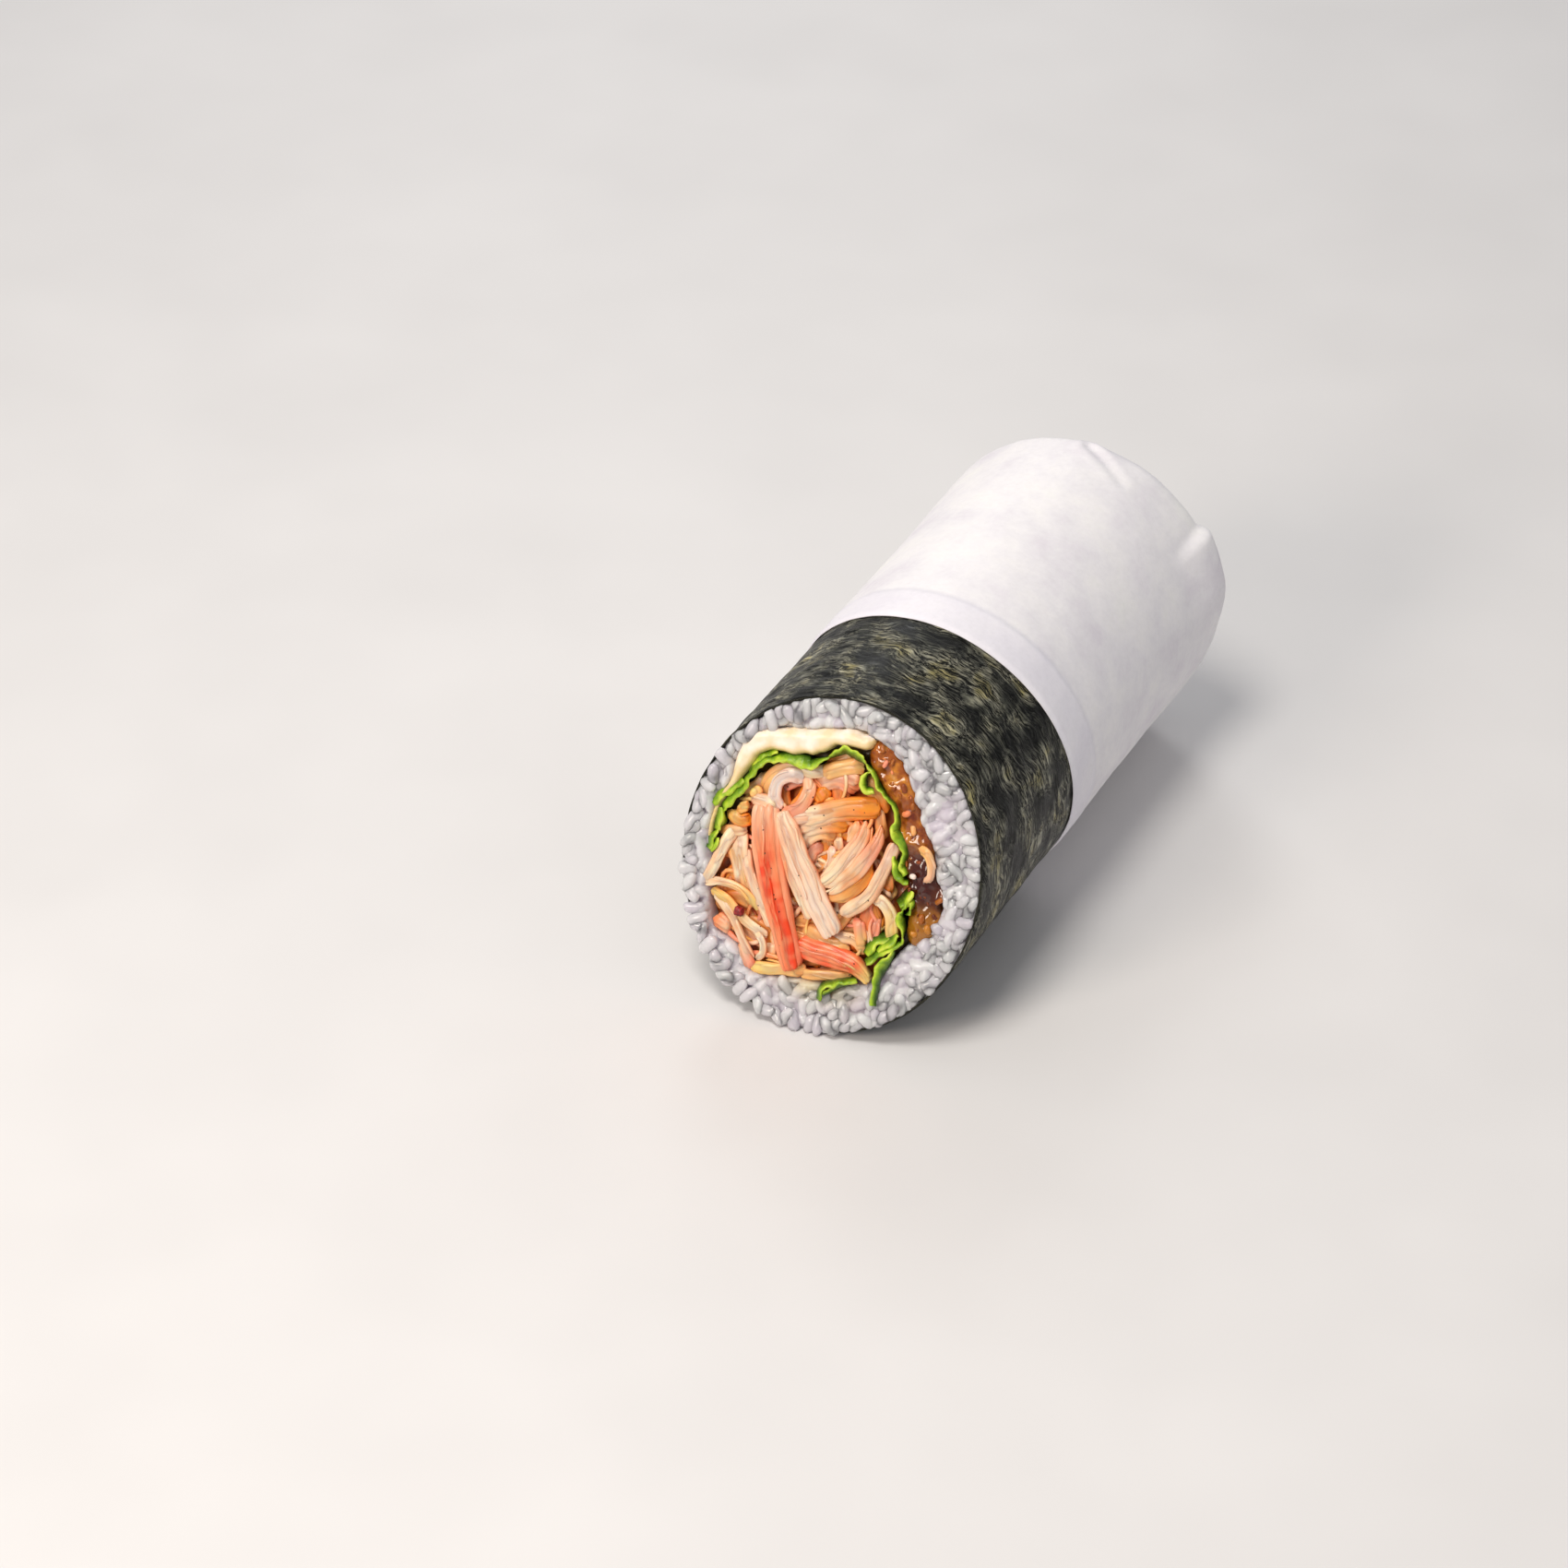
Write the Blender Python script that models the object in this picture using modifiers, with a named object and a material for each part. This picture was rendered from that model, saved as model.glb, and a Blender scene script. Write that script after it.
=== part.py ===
"""A sushi burrito cut open on the bias, lying in the paper that wraps its back half.

The roll lies along +Y and its cut end looks to -Y. The cut is drawn flat, with x to the right, y up
and z out of the cut, and the CUT matrix leans that drawing into place on the roll.
"""

import math
import random

import bmesh
import bpy
from mathutils import Matrix, Vector

MM = 0.001

# The roll, in metres
ROLL_RADIUS = 35.0 * MM  # outside of the seaweed
ROLL_LENGTH = 124.0 * MM  # from the middle of the cut to the roll's wrapped end
ROLL_SEGMENTS = 64
NORI_THICKNESS = 0.5 * MM
SETTLE = 0.5 * MM  # the underside is flattened this far by the roll's own weight
GAP = 0.3 * MM  # clearance between neighbouring pieces
CUT_RISE = 0.405  # the cut runs back this far for each metre it rises
CUT_SWING = 0.04  # and this far for each metre to the right

# The paper
PAPER_THICKNESS = 0.6 * MM
PAPER_SEGMENTS = 40
PAPER_START = 50.6 * MM  # middle of the open edge, behind the middle of the cut
PAPER_END = 133.0 * MM
PAPER_RISE = -0.105  # the open edge leans the other way from the cut
PAPER_SWING = -0.039
HEM_WIDTH = 11.0 * MM
HEM_STEP = 0.25 * MM  # the folded hem stands out this much
SHOULDER = 5.0 * MM  # rounding between the side and the tucked end
SHOULDER_STEPS = 3
END_DISH = 3.0 * MM  # the tucked end sinks this far at its middle
END_RINGS = 3
PLEATS = 10
PLEAT_DEPTH = 0.9 * MM
EAR_ANGLE = math.radians(14)  # the loose fold at the end's right side
EAR_SPREAD = math.radians(19)
EAR_LIFT = 2.0 * MM
EAR_REACH = 9.0 * MM

PAPER_RADIUS = ROLL_RADIUS + GAP + PAPER_THICKNESS
AXIS_HEIGHT = PAPER_RADIUS - SETTLE

# Rice
RICE_RADIUS = ROLL_RADIUS - NORI_THICKNESS - GAP
RICE_SET_BACK = 1.3 * MM  # the rice between the grains lies this far behind the cut
GRAIN_LENGTH = 5.6 * MM
GRAIN_WIDTH = 2.9 * MM
GRAIN_SPACING = 3.8 * MM
GRAIN_DRAWS = 2600
GRAIN_SEED = 11

# Fillings: how far their faces stand before the cut, or lie behind it
MAYO_STAND = 0.3 * MM
SAUCE_STAND = -1.6 * MM
CRAB_STAND = -2.2 * MM
LEAF_STAND = 0.6 * MM
LEAF_THICKNESS = 1.2 * MM
LEAF_WAVE = 0.7 * MM
LEAF_WAVES = 3.5  # along the roll
LEAF_STEPS = 5

# Outlines on the flat cut, in millimetres from the roll's axis
MAYO_OUTLINE = [
    (-29.8, -1), (-29.2, 6), (-26.8, 11.5), (-26, 17), (-24.8, 21), (-20.5, 24), (-11, 26),
    (-3, 28), (3, 28.2), (4.4, 27), (3, 25.9), (-3, 25.2), (-8, 22.4), (-15, 20.8), (-21, 19.4),
    (-23.6, 14), (-27, 8.5), (-28.7, 3), (-28.9, -1),
]
SAUCE_OUTLINE = [
    (5.2, 27.4), (10.5, 24.6), (14.5, 20), (18.5, 13), (22, 8.5), (24.2, 2.5), (27.8, -0.6),
    (25.2, -2.4), (26.6, -6), (23.4, -11.6), (20.6, -10.5), (20.9, -3.5), (19.6, 1.6), (16.6, 8.4),
    (14, 12.5), (12, 16.4), (7, 20.4), (4.8, 24),
]
CRAB_OUTLINE = [
    (-27.6, -11), (-26.7, -3), (-26.3, 4), (-22.4, 11), (-18, 16), (-9, 17.4), (-5, 21),
    (-2, 23), (1.4, 22), (6, 16.8), (10.6, 13.2), (12.6, 8), (13.6, 4.6), (18, -1), (17.2, -9),
    (17.2, -12.6), (12.6, -18), (13.4, -22), (4, -24.4), (-5, -25.6), (-14, -26.4), (-19, -21.6),
    (-25, -19.4),
]
LETTUCE = {
    "lettuce_leaf": [
        (-28.2, -3.4), (-28, 3.4), (-26, 8), (-22, 13.6), (-18.6, 18), (-14, 18.7), (-11, 20),
        (-8.4, 19), (-6.4, 20.6), (-5, 23.4), (-1.6, 24.7), (1.6, 23.8), (4.4, 20.2), (7.6, 17.6),
        (11.6, 14.6), (12.2, 11.6), (15.2, 8), (14.8, 5.2), (18, 2),
    ],
    "lettuce_fold": [
        (19.8, -0.4), (19.4, -5), (18.4, -8.6), (19.2, -12.4), (16.8, -15.2), (14.2, -18.2),
        (15, -21.6), (15.4, -25.6),
    ],
    "lettuce_shred": [(3.6, -27.8), (4.8, -25.8), (7.4, -24.6), (10.4, -23.4)],
}

# Sticks and shreds of crab lie across the cut. Each has its width, its lowest and highest point
# before the cut, and the points that it passes, all in millimetres.
STICK_ROUNDING = 0.6 * MM
CRAB_STICKS = {
    "crab_stick_pale": (4.7, -2.5, 1.5, [(-13.2, 7.8), (-9.2, 3), (-4.6, -3), (4, -13.6)]),
    "crab_stick_red": (6.0, -2.9, 0.9, [(-17, 8.2), (-16.6, 2), (-13, -5), (-10, -12), (-5, -24)]),
    "crab_stick_orange": (4.0, -2.9, 0.3, [(-3.6, -19.2), (3, -19.6), (8.6, -19), (13, -21.2)]),
    "crab_flake": (6.2, -2.7, 0.7, [(9.6, 11), (8, 5.4), (4.4, 0.6), (-1.6, -4.8)]),
}
SHRED_ROOT = -3.5
CRAB_SHREDS = [
    (4.2, SHRED_ROOT, 0.2, [(-9, 6), (-3, 9.3), (3, 12.2), (9.4, 14.2)]),
    (2.6, SHRED_ROOT, -0.8, [(-8, 17), (-3, 19.4), (2.4, 21.6)]),
    (2.2, SHRED_ROOT, -1.3, [(-8, 15), (-2, 17.2), (3, 17)]),
    (2.2, SHRED_ROOT, -0.2, [(-10, 16.6), (-8.8, 13), (-9.6, 9.8), (-13.4, 8.6)]),
    (2.3, SHRED_ROOT, 0.1, [(-17, 15), (-15.8, 12), (-14.6, 9)]),
    (2.0, SHRED_ROOT, -0.6, [(-17.2, 14.6), (-13, 16.6), (-8.6, 16.4)]),
    (2.4, SHRED_ROOT, -0.7, [(-12, 7.2), (-6, 9.6), (-1, 12)]),
    (2.4, SHRED_ROOT, -0.9, [(-10, 4), (-5, 6.8), (1.4, 8.8)]),
    (2.0, SHRED_ROOT, -1.2, [(-7, 1), (-5.4, 4.2), (-2, 5.2), (0.6, 4)]),
    (1.8, SHRED_ROOT, -1.6, [(-4.6, -1.6), (-2.4, 1), (-0.4, 3.4)]),
    (2.6, SHRED_ROOT, 0.5, [(13.2, 7.6), (12.2, 2.4), (9.6, -4), (4.4, -10.2)]),
    (2.2, SHRED_ROOT, -0.5, [(10.8, -4.6), (14.6, -5.4), (16, -9), (16.4, -12)]),
    (2.0, SHRED_ROOT, -0.9, [(8.2, -9.4), (9.2, -12.4), (10, -15.6)]),
    (3.0, SHRED_ROOT, -1.4, [(2, -16.6), (7, -16), (11.4, -16.4)]),
    (2.0, SHRED_ROOT, 0.2, [(-27, -10.4), (-25.6, -4), (-24.4, 0.6), (-21.4, 2)]),
    (2.0, SHRED_ROOT, 0.3, [(-26.6, -11.2), (-22.4, -10), (-18, -11.2), (-13, -14)]),
    (1.9, SHRED_ROOT, -0.2, [(-25.6, -12.4), (-20.4, -17.6), (-15.6, -23.2)]),
    (2.2, SHRED_ROOT, -0.7, [(-22, -13.4), (-16, -16.6), (-10, -18)]),
    (2.2, SHRED_ROOT, -0.4, [(-13.6, -25), (-9, -24), (-4, -23.6)]),
    (1.8, SHRED_ROOT, -0.8, [(-14.8, -18), (-12, -20.4), (-12.6, -24.4)]),
    (2.4, SHRED_ROOT, -1.0, [(-22.4, 3), (-20.6, -3), (-18.4, -9)]),
    (2.2, SHRED_ROOT, -0.3, [(-20.6, 10.6), (-17.6, 9.4), (-14.6, 10.2)]),
    (2.0, SHRED_ROOT, -0.9, [(-25, 4.8), (-22.6, 4.2), (-20, 5.4)]),
    (3.0, SHRED_ROOT, -0.6, [(-24, -17.8), (-21.6, -18.4), (-19.4, -18.8)]),
]

# Leans the flat drawing of the cut into place on the roll
CUT = Matrix(((1, 0, 0, 0), (CUT_SWING, CUT_RISE, -1, 0), (0, 1, 0, AXIS_HEIGHT), (0, 0, 0, 1)))


def clear_scene():
    for item in list(bpy.data.objects):
        bpy.data.objects.remove(item)


def new_collection(name):
    collection = bpy.data.collections.new(name)
    bpy.context.scene.collection.children.link(collection)
    return collection


def add_object(name, shape, collection):
    """Turns a bmesh into an object, with its faces looking out."""
    mesh = bpy.data.meshes.new(name)
    shape.to_mesh(mesh)
    shape.free()
    item = bpy.data.objects.new(name, mesh)
    collection.objects.link(item)
    return item


def bake(item):
    """Applies the object's modifiers."""
    bpy.context.view_layer.update()
    evaluated = item.evaluated_get(bpy.context.evaluated_depsgraph_get())
    mesh = bpy.data.meshes.new_from_object(evaluated)
    item.modifiers.clear()
    item.data = mesh
    shape = bmesh.new()
    shape.from_mesh(mesh)
    bmesh.ops.recalc_face_normals(shape, faces=shape.faces)
    shape.to_mesh(mesh)
    shape.free()
    return item


def keep_largest(item):
    """Drops the loose scraps that a cut leaves."""
    shape = bmesh.new()
    shape.from_mesh(item.data)
    unseen = set(shape.verts)
    largest = set()
    while unseen:
        front = [unseen.pop()]
        body = set(front)
        while front:
            vert = front.pop()
            near = {edge.other_vert(vert) for edge in vert.link_edges} & unseen
            unseen -= near
            body |= near
            front.extend(near)
        if len(body) > len(largest):
            largest = body
    scraps = [vert for vert in shape.verts if vert not in largest]
    bmesh.ops.delete(shape, geom=scraps, context="VERTS")
    shape.to_mesh(item.data)
    shape.free()


def paint(item, colour, roughness):
    material = bpy.data.materials.new(item.name)
    material.use_nodes = True
    shader = material.node_tree.nodes["Principled BSDF"]
    shader.inputs["Base Color"].default_value = (*colour, 1)
    shader.inputs["Roughness"].default_value = roughness
    shader.inputs["Metallic"].default_value = 0
    item.data.materials.clear()
    item.data.materials.append(material)
    item.data.shade_smooth()
    item.data.set_sharp_from_angle(angle=math.radians(40))


def smooth(points, closed, steps):
    """Catmull-Rom curve through a drawing's points."""
    knots = [Vector(point) * MM for point in points]
    count = len(knots)
    curve = []
    for span in range(count if closed else count - 1):
        b = knots[span]
        c = knots[(span + 1) % count]
        a = knots[span - 1] if closed or span else b * 2 - c
        d = knots[(span + 2) % count] if closed or span + 2 < count else c * 2 - b
        for step in range(steps):
            t = step / steps
            bend = (2 * a - 5 * b + 4 * c - d) * t**2 + (3 * b - a - 3 * c + d) * t**3
            curve.append((2 * b + (c - a) * t + bend) / 2)
    if not closed:
        curve.append(knots[-1])
    return curve


def normals(curve, closed):
    """Unit normals to the left of a flat curve."""
    count = len(curve)
    found = []
    for index in range(count):
        before = curve[index - 1] if closed or index else curve[0]
        after = curve[(index + 1) % count] if closed or index + 1 < count else curve[-1]
        along = (after - before).normalized()
        found.append(Vector((-along.y, along.x)))
    return found


def grown(loop, margin):
    """A closed outline moved out by a margin."""
    area = sum(a.cross(b) for a, b in zip(loop, loop[1:] + loop[:1]))
    side = -margin if area > 0 else margin
    return [point + normal * side for point, normal in zip(loop, normals(loop, True))]


def inside(point, loop):
    """Whether a flat point lies within a closed outline."""
    crossings = 0
    for a, b in zip(loop, loop[1:] + loop[:1]):
        if (a.y > point.y) != (b.y > point.y):
            crossings += point.x < a.x + (b.x - a.x) * (point.y - a.y) / (b.y - a.y)
    return crossings % 2 == 1


def flat_curve(name, points, closed, collection):
    """The flat curve as an object, extruded a little to both sides of the drawing."""
    data = bpy.data.curves.new(name, "CURVE")
    data.dimensions = "2D" if closed else "3D"
    data.fill_mode = "BOTH" if closed else "FULL"
    data.extrude = MM
    spline = data.splines.new("POLY")
    spline.points.add(len(points) - 1)
    for knot, point in zip(spline.points, points):
        knot.co = (point.x, point.y, 0, 1)
    spline.use_cyclic_u = closed
    item = bpy.data.objects.new(name, data)
    collection.objects.link(item)
    bpy.context.view_layer.update()
    evaluated = item.evaluated_get(bpy.context.evaluated_depsgraph_get())
    shape = bmesh.new()
    shape.from_mesh(bpy.data.meshes.new_from_object(evaluated))
    bpy.data.objects.remove(item)
    bmesh.ops.remove_doubles(shape, verts=shape.verts, dist=0.0001 * MM)
    return shape


def lean(shape, back):
    """Leans a drawn shape onto the roll, and runs what lies deep in it back to a square end."""
    deep = [vert for vert in shape.verts if vert.co.z < -ROLL_LENGTH / 2]
    shape.transform(CUT)
    for vert in deep:
        vert.co.y = back


def filling(name, outline, stand, collection, margin=0):
    """A filling with one section all through the roll."""
    loop = grown(smooth(outline, True, 2), margin)
    shape = flat_curve(name, loop, True, collection)
    for vert in shape.verts:
        vert.co.z = stand + margin if vert.co.z > 0 else -ROLL_LENGTH
    lean(shape, ROLL_LENGTH + margin)
    bmesh.ops.recalc_face_normals(shape, faces=shape.faces)
    return add_object(name, shape, collection)


def leaf(name, path, collection, margin=0):
    """A thin wavy leaf that runs through the roll."""
    line = smooth(path, False, 2)
    sides = normals(line, False)
    line[0] += (line[0] - line[1]).normalized() * margin
    line[-1] += (line[-1] - line[-2]).normalized() * margin
    last = len(line) - 1
    shape = bmesh.new()
    bmesh.ops.create_grid(shape, x_segments=last, y_segments=LEAF_STEPS, size=1)
    for vert in shape.verts:
        place = round((vert.co.x + 1) / 2 * last)
        depth = (1 - vert.co.y) / 2
        sway = LEAF_WAVE * math.sin(math.tau * LEAF_WAVES * depth) * math.cos(place * 0.9)
        spot = line[place] + sides[place] * sway
        front = CUT @ Vector((spot.x, spot.y, LEAF_STAND + margin))
        back = Vector((spot.x, ROLL_LENGTH + margin, spot.y + AXIS_HEIGHT))
        vert.co = front.lerp(back, depth)
    bmesh.ops.triangulate(shape, faces=shape.faces, quad_method="FIXED")
    item = add_object(name, shape, collection)
    thicken = item.modifiers.new("thickness", "SOLIDIFY")
    thicken.thickness = LEAF_THICKNESS + margin * 2
    thicken.offset = 0
    return bake(item)


def strip(name, width, low, high, path, collection, margin=0, rounding=0):
    """A strip of crab lying across the cut."""
    line = smooth(path, False, 2)
    line[0] += (line[0] - line[1]).normalized() * margin
    line[-1] += (line[-1] - line[-2]).normalized() * margin
    item = add_object(name, flat_curve(name, line, False, collection), collection)
    for vert in item.data.vertices:
        vert.co.z = high * MM + margin if vert.co.z > 0 else low * MM - margin
    thicken = item.modifiers.new("thickness", "SOLIDIFY")
    thicken.thickness = width * MM + margin * 2
    thicken.offset = 0
    if rounding:
        soften = item.modifiers.new("rounding", "BEVEL")
        soften.width = rounding
        soften.segments = 1
    bake(item)
    item.data.transform(CUT)
    return item


def combine(item, operation, collection):
    """Joins a collection of solids to an object or cuts them out of it, and removes them."""
    boolean = item.modifiers.new("combine", "BOOLEAN")
    boolean.operation = operation
    boolean.solver = "MANIFOLD"
    boolean.operand_type = "COLLECTION"
    boolean.collection = collection
    bake(item)
    for piece in list(collection.objects):
        bpy.data.objects.remove(piece)


def section(radius, angle):
    """A point of the roll's round section, which is flattened underneath."""
    return Vector((radius * math.cos(angle), max(radius * math.sin(angle), SETTLE - radius)))


def roll(name, radius, stand, capped, collection):
    """A cylinder that fits the roll, cut on the bias at the front and square at the back."""
    shape = bmesh.new()
    bmesh.ops.create_cone(
        shape, cap_ends=capped, segments=ROLL_SEGMENTS, radius1=1, radius2=1, depth=2
    )
    for vert in shape.verts:
        spot = section(radius, math.atan2(vert.co.y, vert.co.x))
        vert.co = (spot.x, spot.y, stand if vert.co.z > 0 else -ROLL_LENGTH)
    lean(shape, ROLL_LENGTH)
    bmesh.ops.recalc_face_normals(shape, faces=shape.faces)
    return add_object(name, shape, collection)


def make_nori(parts):
    item = roll("nori", ROLL_RADIUS, 0, False, parts)
    thicken = item.modifiers.new("thickness", "SOLIDIFY")
    thicken.thickness = NORI_THICKNESS
    thicken.offset = -1
    thicken.use_even_offset = True
    bake(item)
    paint(item, (0.012, 0.016, 0.010), 0.45)


def paper_rings():
    """Radius, distance behind the cut, lean of the ring, share of the ear and of the pleats."""
    hem = PAPER_RADIUS + HEM_STEP
    side_end = PAPER_END - SHOULDER
    rings = [
        (hem, PAPER_START, 1, 0, 0),
        (hem, PAPER_START + HEM_WIDTH, 1, 0, 0),
        (PAPER_RADIUS, PAPER_START + HEM_WIDTH + HEM_STEP, 1, 0, 0),
        (PAPER_RADIUS, side_end - EAR_REACH, 0, 0, 0),
        (PAPER_RADIUS, side_end, 0, 0.8, 0),
    ]
    for step in range(1, SHOULDER_STEPS + 1):
        turn = math.pi / 2 * step / SHOULDER_STEPS
        radius = PAPER_RADIUS - SHOULDER * (1 - math.cos(turn))
        rings.append((radius, side_end + SHOULDER * math.sin(turn), 0, math.cos(turn), 0))
    for ring in range(1, END_RINGS):
        share = ring / END_RINGS
        radius = (PAPER_RADIUS - SHOULDER) * (1 - share)
        rings.append((radius, PAPER_END - END_DISH * share, 0, 0, 1 - share / 2))
    return rings


def paper_point(angle, ring):
    radius, along, slant, ear, pleat = ring
    turn = (angle - EAR_ANGLE + math.pi) % math.tau - math.pi
    spot = section(radius, angle)
    spot *= 1 + ear * EAR_LIFT / PAPER_RADIUS * math.exp(-((turn / EAR_SPREAD) ** 2))
    along += slant * (PAPER_SWING * spot.x + PAPER_RISE * spot.y)
    along += pleat * PLEAT_DEPTH * (angle * PLEATS / math.tau % 1 - 0.5)
    height = max(spot.y, SETTLE - PAPER_RADIUS)
    return Vector((spot.x, along, height + AXIS_HEIGHT))


def make_paper(parts):
    """The side, the shoulder and the pleated end, lofted ring by ring to the middle of the end."""
    rings = paper_rings()
    shape = bmesh.new()
    loops = []
    for ring in rings:
        angles = [math.tau * (step + 0.5) / PAPER_SEGMENTS for step in range(PAPER_SEGMENTS)]
        loops.append([shape.verts.new(paper_point(angle, ring)) for angle in angles])
    middle = shape.verts.new((0, PAPER_END - END_DISH, AXIS_HEIGHT))
    for outer, inner in zip(loops, loops[1:]):
        for step in range(PAPER_SEGMENTS):
            after = (step + 1) % PAPER_SEGMENTS
            shape.faces.new((outer[step], outer[after], inner[after], inner[step]))
    for step in range(PAPER_SEGMENTS):
        shape.faces.new((loops[-1][step], loops[-1][(step + 1) % PAPER_SEGMENTS], middle))
    bmesh.ops.recalc_face_normals(shape, faces=shape.faces)
    item = add_object("paper_wrap", shape, parts)
    thicken = item.modifiers.new("thickness", "SOLIDIFY")
    thicken.thickness = PAPER_THICKNESS
    thicken.offset = -1
    bake(item)
    paint(item, (0.88, 0.86, 0.87), 0.7)


def make_grains(outlines, pieces):
    """Grains spread over the cut rice, lying every way, none on top of a filling."""
    draw = random.Random(GRAIN_SEED)
    placed = []
    reach = RICE_RADIUS - GRAIN_WIDTH * 0.45
    for _ in range(GRAIN_DRAWS):
        spot = Vector((draw.uniform(-reach, reach), draw.uniform(-reach, reach)))
        crowded = any((spot - other).length < GRAIN_SPACING for other in placed)
        if spot.length > reach or crowded or any(inside(spot, loop) for loop in outlines):
            continue
        placed.append(spot)
        shape = bmesh.new()
        bmesh.ops.create_uvsphere(shape, u_segments=5, v_segments=4, radius=0.5)
        size = draw.uniform(0.9, 1.12)
        shape.transform(Matrix.Diagonal((GRAIN_WIDTH, GRAIN_WIDTH, GRAIN_LENGTH * size, 1)))
        tilt = Matrix.Rotation(math.pi / 2 + draw.uniform(-0.5, 0.5), 4, "Y")
        shape.transform(Matrix.Rotation(draw.uniform(0, math.pi), 4, "Z") @ tilt)
        shape.transform(Matrix.Translation((spot.x, spot.y, draw.uniform(-1.0, -0.2) * MM)))
        shape.transform(CUT)
        add_object("grain", shape, pieces)


def seaweed_room(pieces):
    """Clears the rice away from the seaweed and its cut edge."""
    item = roll("room", RICE_RADIUS, GAP, False, pieces)
    thicken = item.modifiers.new("thickness", "SOLIDIFY")
    thicken.thickness = ROLL_RADIUS - RICE_RADIUS + GRAIN_LENGTH
    thicken.offset = 1
    bake(item)


def leaf_room(pieces):
    for name, path in LETTUCE.items():
        leaf(name + "_room", path, pieces, GAP)


def stick_room(pieces, names):
    for name in names:
        strip(name + "_room", *CRAB_STICKS[name], pieces, GAP)


def make_lettuce(parts):
    for name, path in LETTUCE.items():
        paint(leaf(name, path, parts), (0.16, 0.36, 0.04), 0.35)


def make_mayo(parts, pieces):
    item = filling("mayo", MAYO_OUTLINE, MAYO_STAND, parts)
    leaf_room(pieces)
    combine(item, "DIFFERENCE", pieces)
    keep_largest(item)
    paint(item, (0.88, 0.78, 0.56), 0.3)


def make_sauce(parts, pieces):
    item = filling("brown_sauce", SAUCE_OUTLINE, SAUCE_STAND, parts)
    leaf_room(pieces)
    filling("mayo_room", MAYO_OUTLINE, MAYO_STAND, pieces, GAP)
    combine(item, "DIFFERENCE", pieces)
    keep_largest(item)
    paint(item, (0.30, 0.10, 0.02), 0.2)


def make_sticks(parts, pieces):
    """The large sticks, from the top one down: each gives way to those above it."""
    above = []
    for name, stick in CRAB_STICKS.items():
        item = strip(name, *stick, parts, rounding=STICK_ROUNDING)
        stick_room(pieces, above)
        leaf_room(pieces)
        combine(item, "DIFFERENCE", pieces)
        keep_largest(item)
        paint(item, (0.85, 0.35, 0.20), 0.4)
        above.append(name)


def make_shreds(parts, pieces):
    item = filling("crab_shreds", CRAB_OUTLINE, CRAB_STAND, parts)
    for shred in CRAB_SHREDS:
        strip("shred", *shred, pieces)
    combine(item, "UNION", pieces)
    leaf_room(pieces)
    stick_room(pieces, CRAB_STICKS)
    filling("mayo_room", MAYO_OUTLINE, MAYO_STAND, pieces, GAP)
    filling("sauce_room", SAUCE_OUTLINE, SAUCE_STAND, pieces, GAP)
    combine(item, "DIFFERENCE", pieces)
    keep_largest(item)
    paint(item, (0.85, 0.60, 0.45), 0.4)


def make_rice(parts, pieces):
    item = roll("rice", RICE_RADIUS, -RICE_SET_BACK, True, parts)
    outlines = [MAYO_OUTLINE, SAUCE_OUTLINE, CRAB_OUTLINE]
    make_grains([smooth(points, True, 2) for points in outlines], pieces)
    combine(item, "UNION", pieces)
    seaweed_room(pieces)
    leaf_room(pieces)
    stick_room(pieces, CRAB_STICKS)
    filling("mayo_room", MAYO_OUTLINE, MAYO_STAND, pieces, GAP)
    filling("sauce_room", SAUCE_OUTLINE, MAYO_STAND, pieces, GAP)
    filling("crab_room", CRAB_OUTLINE, MAYO_STAND, pieces, GAP)
    for shred in CRAB_SHREDS:
        strip("shred_room", *shred, pieces, GAP)
    combine(item, "DIFFERENCE", pieces)
    keep_largest(item)
    paint(item, (0.80, 0.78, 0.80), 0.35)


def centre(parts):
    """Moves the burrito so that the middle of its footprint is the origin."""
    bpy.context.view_layer.update()
    corners = [vert.co for item in parts.objects for vert in item.data.vertices]
    stand = bpy.data.objects.new("sushi_burrito", None)
    parts.objects.link(stand)
    for axis in range(2):
        values = [corner[axis] for corner in corners]
        stand.location[axis] = -(min(values) + max(values)) / 2
    for item in parts.objects:
        if item != stand:
            item.parent = stand


def main():
    clear_scene()
    parts = new_collection("sushi_burrito")
    pieces = new_collection("pieces")
    make_nori(parts)
    make_paper(parts)
    make_lettuce(parts)
    make_mayo(parts, pieces)
    make_sauce(parts, pieces)
    make_sticks(parts, pieces)
    make_shreds(parts, pieces)
    make_rice(parts, pieces)
    centre(parts)


main()
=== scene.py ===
import math
import random

import bmesh
import bpy
from mathutils import Matrix, Vector, noise
from mathutils.bvhtree import BVHTree
from mathutils.geometry import delaunay_2d_cdt


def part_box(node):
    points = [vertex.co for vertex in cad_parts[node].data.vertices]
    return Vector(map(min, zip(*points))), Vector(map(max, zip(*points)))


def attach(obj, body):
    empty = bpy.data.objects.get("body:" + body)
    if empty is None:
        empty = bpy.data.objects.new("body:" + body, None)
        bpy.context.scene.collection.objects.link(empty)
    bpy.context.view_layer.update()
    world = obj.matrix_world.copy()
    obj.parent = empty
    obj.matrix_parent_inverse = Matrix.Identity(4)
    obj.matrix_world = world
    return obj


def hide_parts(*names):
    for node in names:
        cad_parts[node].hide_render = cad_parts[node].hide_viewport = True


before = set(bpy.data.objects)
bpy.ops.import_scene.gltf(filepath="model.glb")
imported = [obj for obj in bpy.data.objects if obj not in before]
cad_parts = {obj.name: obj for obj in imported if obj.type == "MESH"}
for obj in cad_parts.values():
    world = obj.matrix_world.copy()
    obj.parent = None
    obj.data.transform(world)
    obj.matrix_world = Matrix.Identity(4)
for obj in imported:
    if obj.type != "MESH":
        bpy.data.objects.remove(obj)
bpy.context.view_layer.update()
print("frame loaded")

mm = 0.001

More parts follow.
